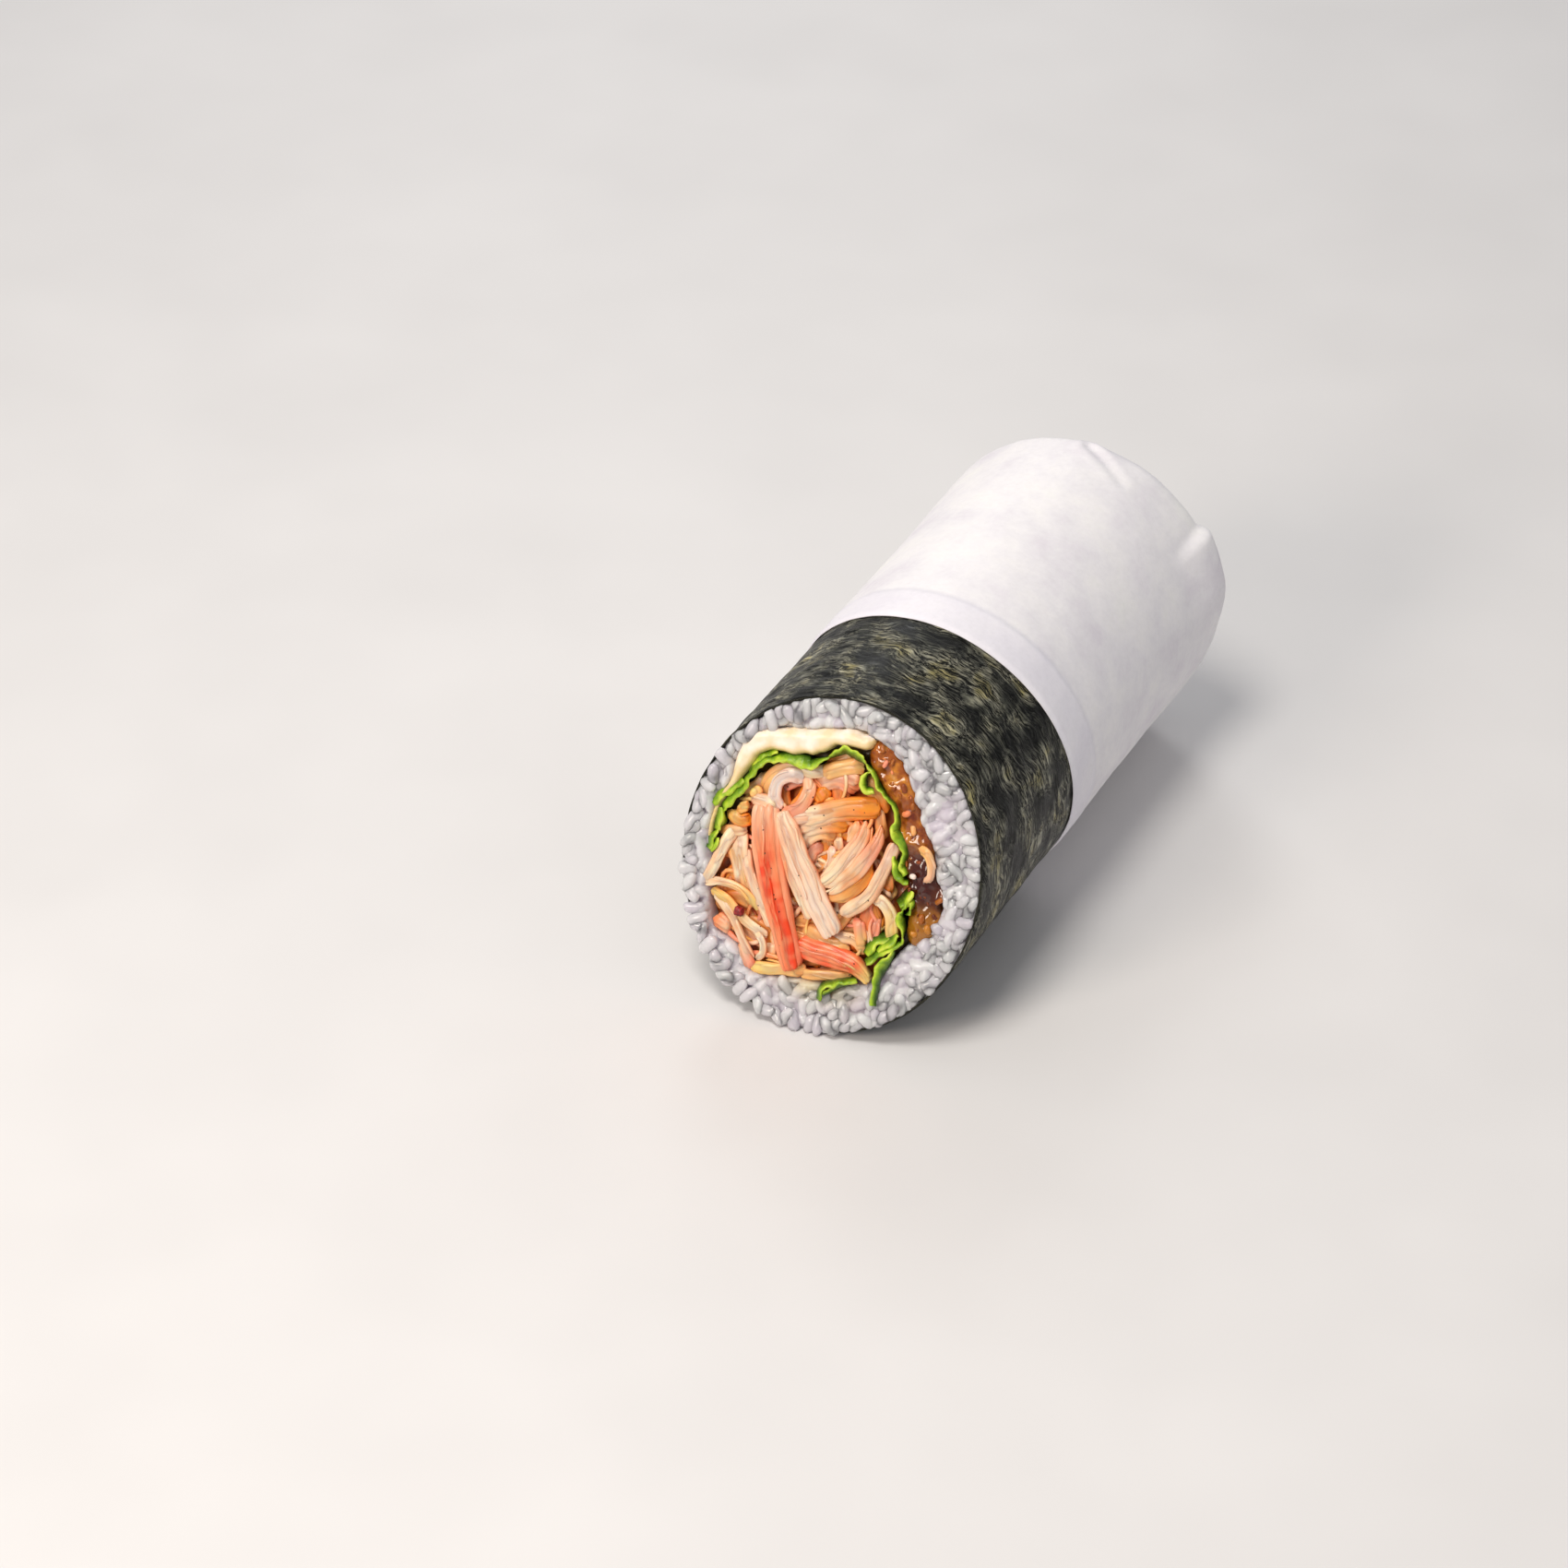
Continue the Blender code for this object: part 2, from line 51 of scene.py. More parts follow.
# the roll, read from the frame: it lies along +Y with its cut facing -Y; lengths here and in every
# dictionary below are in millimetres
noriLow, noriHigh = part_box("nori")
roll = {
    "radius": (noriHigh.x - noriLow.x) / 2 / mm,
    "length": 124,  # middle of the cut to the hidden end
    "rise": 0.405,  # the cut leans back this far for each millimetre of height
    "swing": 0.04,  # and this far for each one to the right
}
axisX = (noriHigh.x + noriLow.x) / 2
axisZ = noriHigh.z - roll["radius"] * mm
cutY = noriHigh.y - roll["length"] * mm
board = -axisZ / mm  # height of what the roll lies on, measured from its axis
cutNormal = Vector((roll["swing"], -1, roll["rise"])).normalized()

bpy.context.scene.view_settings.view_transform = "Standard"

# camera, placed from the board under the middle of the cut
cameraSet = {
    "azimuth": 27.44,
    "elevation": 36.0,
    "distance": 1.0208,  # metres
    "right": 0.0101,  # the cut stands this far right of the view's middle
    "down": 0.0460,  # and this far below it
    "lens": 105.88,
    "sensor": 36,
}


def addObject(name, data):
    thing = bpy.data.objects.new(name, data)
    bpy.context.scene.collection.objects.link(thing)
    return thing


def addCamera():
    azimuth = math.radians(cameraSet["azimuth"])
    elevation = math.radians(cameraSet["elevation"])
    right = Vector((math.cos(azimuth), math.sin(azimuth), 0))
    toEye = Vector((
        math.sin(azimuth) * math.cos(elevation),
        -math.cos(azimuth) * math.cos(elevation),
        math.sin(elevation),
    ))
    up = toEye.cross(right)
    camera = addObject("camera", bpy.data.cameras.new("camera"))
    camera.data.lens = cameraSet["lens"]
    camera.data.sensor_width = cameraSet["sensor"]
    camera.data.clip_start = 0.05
    camera.data.clip_end = 20
    underCut = Vector((axisX, cutY, axisZ - roll["radius"] * mm))
    camera.location = (
        underCut + toEye * cameraSet["distance"] - right * cameraSet["right"] + up * cameraSet["down"]
    )
    camera.rotation_mode = "QUATERNION"
    camera.rotation_quaternion = Matrix((right, up, toEye)).transposed().to_quaternion()
    bpy.context.scene.camera = camera
    return toEye


toEye = addCamera()
eyeSlant = toEye.dot(cutNormal)


# places on the roll

def slant(x, z):
    # how far behind its middle the cut lies
    return roll["swing"] * x + roll["rise"] * z


def inRoll(x, back, z):
    # a point right of the roll's axis, behind the middle of the cut, and above the axis
    return Vector((axisX + x * mm, cutY + back * mm, axisZ + z * mm))


def onCut(x, z, stand=0.0):
    # a point of the cut, raised along the cut's normal
    return inRoll(x, slant(x, z), z) + cutNormal * (stand * mm)


def inView(x, z, stand=0.0):
    # the same, but raised toward the eye, so that it stays over the same spot of the cut
    return onCut(x, z) + toEye * (stand * mm / eyeSlant)


# shapes

def smoothStep(low, high, value):
    share = min(1.0, max(0.0, (value - low) / (high - low)))
    return share * share * (3 - 2 * share)


def bell(value):
    return math.exp(-(value ** 2))


def wrapAngle(degrees):
    return (degrees + 180) % 360 - 180


def ripple(x, y, z=0.0, size=1.0):
    # smooth noise from -1 to 1 whose bumps are about one size across
    return noise.noise(Vector((x, y, z)) / size)


def smoothLine(points, steps, closed=False):
    # Catmull-Rom through the points
    knots = [Vector(point) for point in points]
    count = len(knots)
    line = []
    for span in range(count if closed else count - 1):
        b, c = knots[span], knots[(span + 1) % count]
        a = knots[span - 1] if closed or span else b * 2 - c
        d = knots[(span + 2) % count] if closed or span + 2 < count else c * 2 - b
        for step in range(steps):
            t = step / steps
            bend = (2 * a - 5 * b + 4 * c - d) * t * t + (3 * b - a - 3 * c + d) * t ** 3
            line.append((2 * b + (c - a) * t + bend) / 2)
    if not closed:
        line.append(knots[-1])
    return line


def lineLength(points):
    return sum((b - a).length for a, b in zip(points, points[1:]))


def evenLine(points, count):
    # points at equal distances along a line
    lengths = [0.0]
    for a, b in zip(points, points[1:]):
        lengths.append(lengths[-1] + (b - a).length)
    line, place = [], 0
    for step in range(count):
        goal = lengths[-1] * step / (count - 1)
        while place < len(points) - 2 and lengths[place + 1] < goal:
            place += 1
        gap = max(lengths[place + 1] - lengths[place], 1e-9)
        line.append(points[place].lerp(points[place + 1], (goal - lengths[place]) / gap))
    return line


def leftOf(line, place):
    # the direction across a line of knots at one of them
    before, after = line[max(0, place - 1)], line[min(len(line) - 1, place + 1)]
    along = (after.to_2d() - before.to_2d()).normalized()
    return Vector((-along.y, along.x))


def insideLoop(x, z, loop):
    crossings = 0
    for a, b in zip(loop, loop[1:] + loop[:1]):
        if (a.y > z) != (b.y > z):
            crossings += x < a.x + (b.x - a.x) * (z - a.y) / (b.y - a.y)
    return crossings % 2 == 1


def edgeDistance(x, z, loop):
    nearest = 1e9
    for a, b in zip(loop, loop[1:] + loop[:1]):
        run, rise = b.x - a.x, b.y - a.y
        along = ((x - a.x) * run + (z - a.y) * rise) / max(run * run + rise * rise, 1e-9)
        along = min(1.0, max(0.0, along))
        nearest = min(nearest, math.hypot(x - a.x - run * along, z - a.y - rise * along))
    return nearest


def ringFaces(rings, columns, closed=False):
    # quads between rings of points that follow one another, and back to the first where closed
    faces = []
    for ring in range(rings if closed else rings - 1):
        row, far = ring * columns, (ring + 1) % rings * columns
        for column in range(columns):
            after = (column + 1) % columns
            faces.append((row + column, row + after, far + after, far + column))
    return faces


def lumpFaces(sides, rings):
    # faces of a closed lump: a tip, rings of points and the other tip
    faces = [tuple(1 + index for index in face) for face in ringFaces(rings - 1, sides)]
    last = 1 + (rings - 2) * sides
    for side in range(sides):
        after = (side + 1) % sides
        faces.append((0, 1 + after, 1 + side))
        faces.append((last + sides, last + side, last + after))
    return faces


def joinShapes(shapes):
    # a shape is its points, its faces and named triples for each point, which the materials read
    points, faces, values = [], [], {}
    for shapePoints, shapeFaces, shapeValues in shapes:
        faces += [tuple(len(points) + index for index in face) for face in shapeFaces]
        points += shapePoints
        for label, triples in shapeValues.items():
            values.setdefault(label, []).extend(triples)
    return points, faces, values


def addPiece(name, shape, material, slot, *nodes, thickness=0, offset=0):
    points, faces, values = shape
    mesh = bpy.data.meshes.new(name)
    mesh.from_pydata(points, [], faces)
    for label, triples in values.items():
        layer = mesh.attributes.new(label, "FLOAT_VECTOR", "POINT")
        layer.data.foreach_set("vector", [number for triple in triples for number in triple])
    surface = bmesh.new()
    surface.from_mesh(mesh)
    bmesh.ops.recalc_face_normals(surface, faces=surface.faces)
    surface.to_mesh(mesh)
    surface.free()
    mesh.shade_smooth()
    mesh.materials.append(material)
    piece = addObject(name, mesh)
    if thickness:
        sheet = piece.modifiers.new("thickness", "SOLIDIFY")
        sheet.thickness = thickness * mm
        sheet.offset = offset
    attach(piece, "root")
    if nodes:
        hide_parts(*nodes)


# materials

def srgb(code):
    # a hex colour as the linear colour that the shaders want
    channels = [int(code[start:start + 2], 16) / 255 for start in (1, 3, 5)]
    return (*[c / 12.92 if c < 0.04045 else ((c + 0.055) / 1.055) ** 2.4 for c in channels], 1)


def perMetre(size):
    # the texture scale whose pattern repeats about every size
    return 1 / (size * mm)


def addNode(tree, kind, links=None, stops=None, **settings):
    # links go to a socket, to a node's first output in use, or hold a number or a hex colour
    node = tree.nodes.new("ShaderNode" + kind)
    for name, value in settings.items():
        setattr(node, name, value)
    if stops:
        elements = node.color_ramp.elements
        while len(elements) < len(stops):
            elements.new(1)
        for element, (place, colour) in zip(elements, stops):
            element.position = place
            element.color = srgb(colour) if isinstance(colour, str) else (colour, colour, colour, 1)
    for name, value in (links or {}).items():
        if isinstance(value, bpy.types.Node):
            value = firstOutput(value)
        if isinstance(value, bpy.types.NodeSocket):
            tree.links.new(value, node.inputs[name])
        else:
            node.inputs[name].default_value = srgb(value) if isinstance(value, str) else value
    return node


def firstOutput(node):
    return next(socket for socket in node.outputs if socket.enabled)


def newMaterial(name, **sockets):
    material = bpy.data.materials.new(name)
    material.use_nodes = True
    shader = material.node_tree.nodes["Principled BSDF"]
    for label, value in sockets.items():
        shader.inputs[label.replace("_", " ")].default_value = value
    return material, material.node_tree


def finishMaterial(material, sockets, height=None, strength=0.0, depth=0.0):
    # feeds the shader's sockets, and adds relief of a depth where there is a height
    tree = material.node_tree
    if height:
        relief = {"Height": height, "Strength": strength, "Distance": depth * mm}
        sockets["Normal"] = addNode(tree, "Bump", relief)
    for label, node in sockets.items():
        tree.links.new(firstOutput(node), tree.nodes["Principled BSDF"].inputs[label])
    return material


# paper wrap: a sleeve with a turned hem, its far end pleated shut

paper = {
    "proud": 0.6,  # from the seaweed to the outside of the paper
    "thickness": 0.25,
    "start": 50.6,  # open edge, behind the middle of the cut
    "rise": -0.105,  # its lean, as for the cut
    "swing": -0.039,
    "hemWidth": 11,
    "hemStep": 0.16,
    "hemRings": 18,
    "end": 134.0,
    "bodyRings": 53,
    "shoulder": 5.0,
    "shoulderRings": 8,
    "loose": 0.7,  # the wrap is slacker toward its closed end
    "dish": 3.4,
    "endRings": 25,
    "corners": [-6, 36, 62, 90, 113, 141, 166, 192, 221, 248, 272, 301, 327],  # degrees, where pleats turn in
    "pleatDepth": 2.4,
    "swirl": 38,  # degrees that a pleat turns on its way to the middle
    "ear": {"low": -8, "high": 35, "from": 114, "lift": 2.7},  # a loose fold, between two angles
    "crease": [(88, 129.5), (68, 122)],  # from and to: degrees and distance behind the cut
    "seam": 203,
    "columns": 340,
}
paperReach = roll["radius"] + paper["proud"]


def makePaperMaterial():
    # foodPaper: bleached kraft, calendered and lightly waxed, so matt white with a cloudy lilac
    # look-through; the turned hem band, where two layers lie together, is painted a greyer lilac as shade
    material, tree = newMaterial("foodPaper", Roughness=0.6, IOR=1.5, Sheen_Weight=0.06)
    place = addNode(tree, "TexCoord").outputs["Object"]
    clouds = addNode(tree, "TexNoise",
                     {"Vector": place, "Scale": perMetre(13), "Detail": 4.0, "Roughness": 0.6})
    tone = addNode(tree, "ValToRGB", {"Fac": clouds},
                   stops=[(0.3, "#e8e3e9"), (0.46, "#f0edf0"), (0.58, "#f5f2f3"), (0.7, "#f7f5f3")])
    sheet = addNode(tree, "Attribute", attribute_name="sheet").outputs["Vector"]
    hem = addNode(tree, "SeparateXYZ", {"Vector": sheet}).outputs["Z"]
    # painted shade: the hem band is mixed toward a greyer lilac
    hemShadeShare = addNode(tree, "Math", {0: hem, 1: 0.45}, operation="MULTIPLY")
    hemShaded = addNode(tree, "Mix", {"Factor": hemShadeShare, "A": tone, "B": "#e9e5f1"}, data_type="RGBA")
    fibre = addNode(tree, "TexNoise",
                    {"Vector": place, "Scale": perMetre(1.3), "Detail": 4.0, "Roughness": 0.7})
    grain = addNode(tree, "ValToRGB", {"Fac": fibre}, stops=[(0.3, 0.95), (0.6, 1.0)])
    colour = addNode(tree, "Mix", {"Factor": 1.0, "A": hemShaded, "B": grain},
                     data_type="RGBA", blend_type="MULTIPLY")
    return finishMaterial(material, {"Base Color": colour}, fibre, 0.2, 0.12)


def sectorOf(degrees):
    # the pleat that an angle lies in: its number, its width and how far along it
    corners = paper["corners"]
    for index, corner in enumerate(corners):
        width = (corners[(index + 1) % len(corners)] - corner) % 360
        into = (degrees - corner) % 360
        if into < width:
            return index, width, into / width
    return 0, 360, 0


def creaseHeight(degrees, along):
    # a pinched line, sunk along its middle and raised beside it, that fades along its length
    (startAngle, startAlong), (endAngle, endAlong) = paper["crease"]
    a = Vector((math.radians(startAngle) * paperReach, startAlong))
    b = Vector((math.radians(endAngle) * paperReach, endAlong))
    spot = Vector((math.radians(degrees) * paperReach, along))
    place = min(1.0, max(0.0, (spot - a).dot(b - a) / (b - a).length_squared))
    gap = (spot - a.lerp(b, place)).length
    return (0.45 - 0.3 * place) * bell((gap - 2.3) / 1.3) - (0.7 - 0.5 * place) * bell(gap / 1.1)


def paperPoint(degrees, radius, along):
    # rounds to the board, and carries the ear, the flats between pleats, the crease and the seam
    turn, fromSeam = wrapAngle(degrees), (degrees - paper["seam"]) % 360
    _, width, into = sectorOf(degrees)
    rim = smoothStep(paper["end"] - 24, paper["end"] - 4, along)
    flat = 1 - math.cos(math.radians(width / 2)) / math.cos(math.radians(width * (into - 0.5)))
    radius *= 1 - flat * rim * 0.4
    radius -= 0.22 * rim * bell(min(into, 1 - into) * width / 3)
    ear = paper["ear"]
    lift = smoothStep(ear["low"], ear["low"] + 22, turn)
    lift *= 1 - smoothStep(ear["high"] - 4, ear["high"] + 2, turn)
    lift *= ear["lift"] * smoothStep(ear["from"], paper["end"] - 6, along)
    radius += lift * min(1, radius / paperReach)
    radius += creaseHeight(turn, along)
    radius += 0.35 * max(0.0, 1 - fromSeam / 30) * min(1, radius / paperReach)
    radius += paper["loose"] * smoothStep(96, 128, along) * min(1, radius / paperReach)
    arc = math.radians(fromSeam) * paperReach
    for height, layer, size in ((0.14, 3, 11), (0.06, 9, 4), (0.03, 5, 1.8)):
        radius += height * ripple(arc, along, layer, size)
    x = radius * math.cos(math.radians(degrees))
    z = radius * math.sin(math.radians(degrees))
    return x, max(z, board + 0.02)


def paperRings():
    # each ring: radius, distance behind the cut, lean, how far into the pleated end
    rings = []
    for step in range(paper["hemRings"] + 1):
        along = paper["start"] + paper["hemWidth"] * (step / paper["hemRings"]) ** 1.5
        pinch = 0.32 * (1 - smoothStep(0, 1.6, along - paper["start"]))  # the open edge hugs the seaweed
        rings.append((paperReach + paper["hemStep"] - pinch, along, 1, 0))
    bodyStart = paper["start"] + paper["hemWidth"] + 0.35
    bodyEnd = paper["end"] - paper["shoulder"]
    for step in range(paper["bodyRings"] + 1):
        share = step / paper["bodyRings"]
        rings.append((paperReach, bodyStart + (bodyEnd - bodyStart) * share, 1 - share, 0))
    for step in range(1, paper["shoulderRings"] + 1):
        share = step / paper["shoulderRings"]
        inset = paper["shoulder"] * (1 - math.cos(math.pi / 2 * share))
        along = bodyEnd + paper["shoulder"] * math.sin(math.pi / 2 * share)
        rings.append((paperReach - inset, along, 0, share * 0.1))
    for step in range(1, paper["endRings"]):
        share = step / paper["endRings"]
        along = paper["end"] - paper["dish"] * share ** 1.5
        rings.append(((paperReach - paper["shoulder"]) * (1 - share), along, 0, 0.1 + 0.9 * share))
    return rings


def makePaper(material):
    points, values = [], []
    columns = paper["columns"]
    rings = paperRings()
    for radius, along, lean, into in rings:
        # the mesh turns with the pleats, so that each fold runs along one of its columns
        spin = Matrix.Rotation(math.radians(paper["swirl"] * into ** 1.3), 2)
        strength = smoothStep(0, 0.2, into) * (1 - 0.8 * smoothStep(0.5, 1, into))
        # the hem band, which the paper's shader paints a greyer lilac as shade
        hem = 1 - smoothStep(0, 1.2, along - paper["start"] - paper["hemWidth"])
        for column in range(columns):
            degrees = 360 * column / columns
            x, z = spin @ Vector(paperPoint(degrees, radius, along))
            index, _, share = sectorOf(degrees)
            fold = share ** 0.8 * (1 - smoothStep(0.93, 1.0, share))
            dip = paper["pleatDepth"] * (1 - fold) * strength * (0.7 + 0.3 * math.sin(index * 2.4))
            back = along + lean * (paper["swing"] * x + paper["rise"] * z) - dip
            back += 0.25 * ripple(x, z, 5, 6) * smoothStep(0.1, 0.4, into)
            points.append(inRoll(x, back, max(z, board + 0.02)))
            values.append((math.radians(degrees) * paperReach * mm, along * mm, hem))
    faces = ringFaces(len(rings), columns)
    last, middle = (len(rings) - 1) * columns, len(points)
    faces += [(last + column, last + (column + 1) % columns, middle) for column in range(columns)]
    points.append(inRoll(0, paper["end"] - paper["dish"], 0))
    values.append((0, paper["end"] * mm, 0))
    addPiece("paperWrap", (points, faces, {"sheet": values}), material, "paper", "paper_wrap",
             thickness=paper["thickness"], offset=-1)


# seaweed: one toasted sheet round the rice

nori = {
    "thickness": 0.45,
    "shown": 56,  # this much behind the cut stays in sight of the open paper
    "covered": 62,  # from here on it lies tucked under the paper
    "hiddenRows": [62, 70, 90, 110],  # behind the cut
    "insideRows": [62, 54, 20, 4, 0.6, 0.0],
    "thinEdge": 0.12,  # the outside draws in at the cut
    "tucked": 0.8,  # drawn in this far under the paper
    "pressed": 0.5,  # the underside is flattened this far by the roll's weight
    "wave": 0.16,
    "wrinkle": 0.3,
    "lap": 0.35,
    "seam": 232,  # degrees, as on the paper
    "columns": 380,
    "rows": 120,
}


def makeNoriMaterial():
    # toastedNori: dried, pressed and toasted laver, so near black with a green cast, and matted fibres
    # in pale olive streaks, partly their own paler tone and partly painted glints where they catch the light
    material, tree = newMaterial("toastedNori", IOR=1.5)
    place = addNode(tree, "Attribute", attribute_name="sheet").outputs["Vector"]
    swirl = addNode(tree, "TexNoise", {"Vector": place, "Scale": perMetre(11), "Detail": 2.0})
    turned = addNode(tree, "VectorMath", {0: swirl.outputs["Color"], 1: (0.5, 0.5, 0.5)},
                     operation="SUBTRACT")
    bent = addNode(tree, "VectorMath", {0: turned, "Scale": 8 * mm}, operation="SCALE")
    warped = addNode(tree, "VectorMath", {0: place, 1: bent}, operation="ADD")
    streaks = None
    # matted fibres are about 0.1 across; these are drawn 4 to 10 times coarser so that they show
    for degrees, size, low in ((5, 1.0, 0.52), (30, 0.5, 0.53), (-35, 0.42, 0.54), (75, 0.38, 0.56)):
        laid = addNode(tree, "Mapping", {"Vector": warped, "Rotation": (0, 0, math.radians(degrees)),
                                         "Scale": (0.1, 1, 1)})
        fibre = addNode(tree, "TexNoise", {"Vector": laid, "Scale": perMetre(size), "Detail": 4.0,
                                           "Roughness": 0.65})
        thin = addNode(tree, "MapRange", {"Value": fibre, "From Min": low, "From Max": low + 0.14})
        streaks = addNode(tree, "Math", {0: streaks, 1: thin}, operation="MAXIMUM") if streaks else thin
    patches = addNode(tree, "TexNoise", {"Vector": warped, "Scale": perMetre(8), "Detail": 3.0})
    thinned = addNode(tree, "MapRange", {"Value": patches, "From Min": 0.38, "From Max": 0.62,
                                         "To Min": 0.15, "To Max": 1.0})
    shown = addNode(tree, "Math", {0: streaks, 1: thinned}, operation="MULTIPLY")
    base = addNode(tree, "ValToRGB", {"Fac": patches},
                   stops=[(0.3, "#030302"), (0.5, "#080906"), (0.68, "#12130c")])
    # partly painted highlight: the streak colour is lighter than the fibres alone, standing in for their
    # glints, and lighter still where the noise patches run high
    paleFibreGlint = addNode(tree, "ValToRGB", {"Fac": patches},
                     stops=[(0.33, "#50524a"), (0.48, "#8c8c76"), (0.58, "#c0bca0"), (0.68, "#b6aa68")])
    colour = addNode(tree, "Mix", {"Factor": shown, "A": base, "B": paleFibreGlint}, data_type="RGBA")
    gloss = addNode(tree, "MapRange", {"Value": shown, "To Min": 0.42, "To Max": 0.3})
    shine = addNode(tree, "MapRange", {"Value": shown, "From Max": 0.5, "To Min": 0.16, "To Max": 0.8})
    sockets = {"Base Color": colour, "Roughness": gloss, "Specular IOR Level": shine}
    return finishMaterial(material, sockets, shown, 1.0, 0.25)


def makeNori(material):
    points, values = [], []
    reach, columns, end = roll["radius"], nori["columns"], roll["length"]
    lowest = nori["pressed"] - reach
    places = [step / nori["rows"] * nori["shown"] for step in range(nori["rows"] + 1)]
    rings = [(place, 0.0) for place in places + nori["hiddenRows"] + [end]]
    rings += [(place, nori["thickness"]) for place in [end] + nori["insideRows"]]
    for place, inset in rings:
        for column in range(columns):
            degrees = 360 * column / columns
            fromSeam = (degrees - nori["seam"]) % 360
            arc = math.radians(fromSeam) * reach
            radius = reach - inset - nori["tucked"] * smoothStep(nori["shown"], nori["covered"], place)
            if not inset:
                radius += nori["wave"] * ripple(arc, place * 2, 1, 14)
                radius += nori["wrinkle"] * ripple(arc * 0.35, place, 7, 2.2)
                radius += nori["lap"] * max(0.0, 1 - fromSeam / 22)
            radius -= nori["thinEdge"] if place == 0 else 0
            x = radius * math.cos(math.radians(degrees))
            z = max(radius * math.sin(math.radians(degrees)), lowest + inset)
            front = slant(x, z)
            front += (0.10 * ripple(arc, 0, 4, 1.3) + 0.16 * ripple(arc, 0, 8, 5)) * max(0, 1 - place / 6)
            back = front + (end - front) * place / end
            points.append(inRoll(x, back, z))
            values.append((arc * mm, back * mm, inset))
    faces = ringFaces(len(rings), columns, closed=True)
    addPiece("noriSheet", (points, faces, {"sheet": values}), material, "nori", "nori")


# fillings with one section all through the roll

outlines = {
    "mayo": [
        (-29.8, -1), (-29.2, 6), (-26.8, 11.5), (-26, 17), (-24.8, 21), (-20.5, 24), (-11, 26),
        (-3, 28), (3, 28.2), (4.6, 27), (3.6, 25.2), (-1, 24.8), (-3.6, 24.4), (-8, 21.6), (-15, 20.0),
        (-20.6, 19.0), (-23.2, 14), (-26.6, 8.5), (-28.6, 3), (-28.9, -1),
    ],
    "sauce": [
        (5.2, 27.4), (10.5, 24.6), (14.5, 20), (18.5, 13), (22, 8.5), (24.2, 2.5), (27.8, -0.6),
        (25.2, -2.4), (26.6, -6), (23.4, -11.6), (19.8, -10.8), (18.8, -3.5), (17.2, 1.2), (13.8, 8),
        (12, 12.5), (10, 16), (5.6, 20.4), (3.6, 24),
    ],
    "crab": [
        (-27.6, -11), (-26.7, -3), (-26.3, 4), (-22.4, 11), (-18, 16), (-9, 17.4), (-5, 21),
        (-2, 23), (1.4, 22), (6, 16.8), (10.6, 13.2), (12.6, 8), (13.6, 4.6), (18, -1), (17.2, -9),
        (17.2, -12.6), (12.6, -18), (13.4, -22), (4, -24.4), (-5, -25.6), (-14, -26.4), (-19, -21.6),
        (-25, -19.4),
    ],
    # everything inside the rice
    "fillings": [
        (-29.2, -1), (-29.2, 6), (-26.8, 11.5), (-26, 17), (-24.8, 21), (-20.5, 24), (-11, 26),
        (-3, 28), (3, 28.2), (10.5, 24.6), (14.5, 20), (18.5, 13), (22, 8.5), (24.2, 2.5), (26.4, -1),
        (25.6, -6), (22.6, -11), (19.4, -13), (16, -19), (13.4, -22), (4, -24.4), (-5, -25.6),
        (-14, -26.4), (-19, -21.6), (-25, -19.4), (-27.6, -11), (-28, -6),
    ],
}
loops = {name: smoothLine(points, 4, closed=True) for name, points in outlines.items()}
backGap = 0.3  # the fillings stop this far before the hidden end of the roll
lipDepth = 3  # their edges are rounded this deep, and run straight back from there


def triangulate(ring, extra):
    # fills a flat ring; gives the points, the triangles and which points are the ring's own
    edges = [(i, (i + 1) % len(ring)) for i in range(len(ring))]
    found, _, triangles, origins, _, _ = delaunay_2d_cdt(ring + extra, edges, [], 0, 1e-6)
    place = {old: new for new, olds in enumerate(origins) for old in olds}
    kept = []
    for triangle in triangles:
        middle = sum((found[index] for index in triangle), Vector((0, 0))) / 3
        if insideLoop(middle.x, middle.y, ring):
            kept.append(tuple(triangle))
    return found, kept, [place[i] for i in range(len(ring))]


def plugShape(loop, stand, step, **values):
    # a filling: its front is triangulated finely, and its sides run straight back to the roll's end;
    # values: for each name, a function of x and z that gives a triple
    ring = evenLine(loop + loop[:1], int(lineLength(loop + loop[:1]) / step) + 1)[:-1]
    xs, zs = [spot.x for spot in ring], [spot.y for spot in ring]
    rowStep = step * 0.87  # rows of even triangles
    extra = []
    for row in range(int((max(zs) - min(zs)) / rowStep)):
        z = min(zs) + row * rowStep
        for column in range(int((max(xs) - min(xs)) / step)):
            x = min(xs) + (column + row % 2 / 2) * step
            if insideLoop(x, z, ring) and edgeDistance(x, z, ring) > step * 0.6:
                extra.append(Vector((x, z)))
    flat, faces, border = triangulate(ring, extra)
    points = [onCut(x, z, stand(x, z, edgeDistance(x, z, ring))) for x, z in flat]
    edge = [flat[index] for index in border]
    near = range(len(points), len(points) + len(edge))
    points += [onCut(x, z, stand(x, z, 0) - lipDepth) for x, z in edge]
    far = range(len(points), len(points) + len(edge))
    points += [inRoll(x, roll["length"] - backGap, z) for x, z in edge]
    for row, nextRow in ((border, near), (near, far)):
        for i in range(len(edge)):
            j = (i + 1) % len(edge)
            faces.append((row[i], row[j], nextRow[j], nextRow[i]))
    _, backFaces, backBorder = triangulate(edge, [])
    backIndex = dict(zip(backBorder, far))
    faces += [tuple(backIndex[index] for index in triangle) for triangle in backFaces]
    flat = flat + edge * 2
    return points, faces, {name: [value(x, z) for x, z in flat] for name, value in values.items()}


# rice: a sticky face of fused grains, with loose ones on it and round its rim

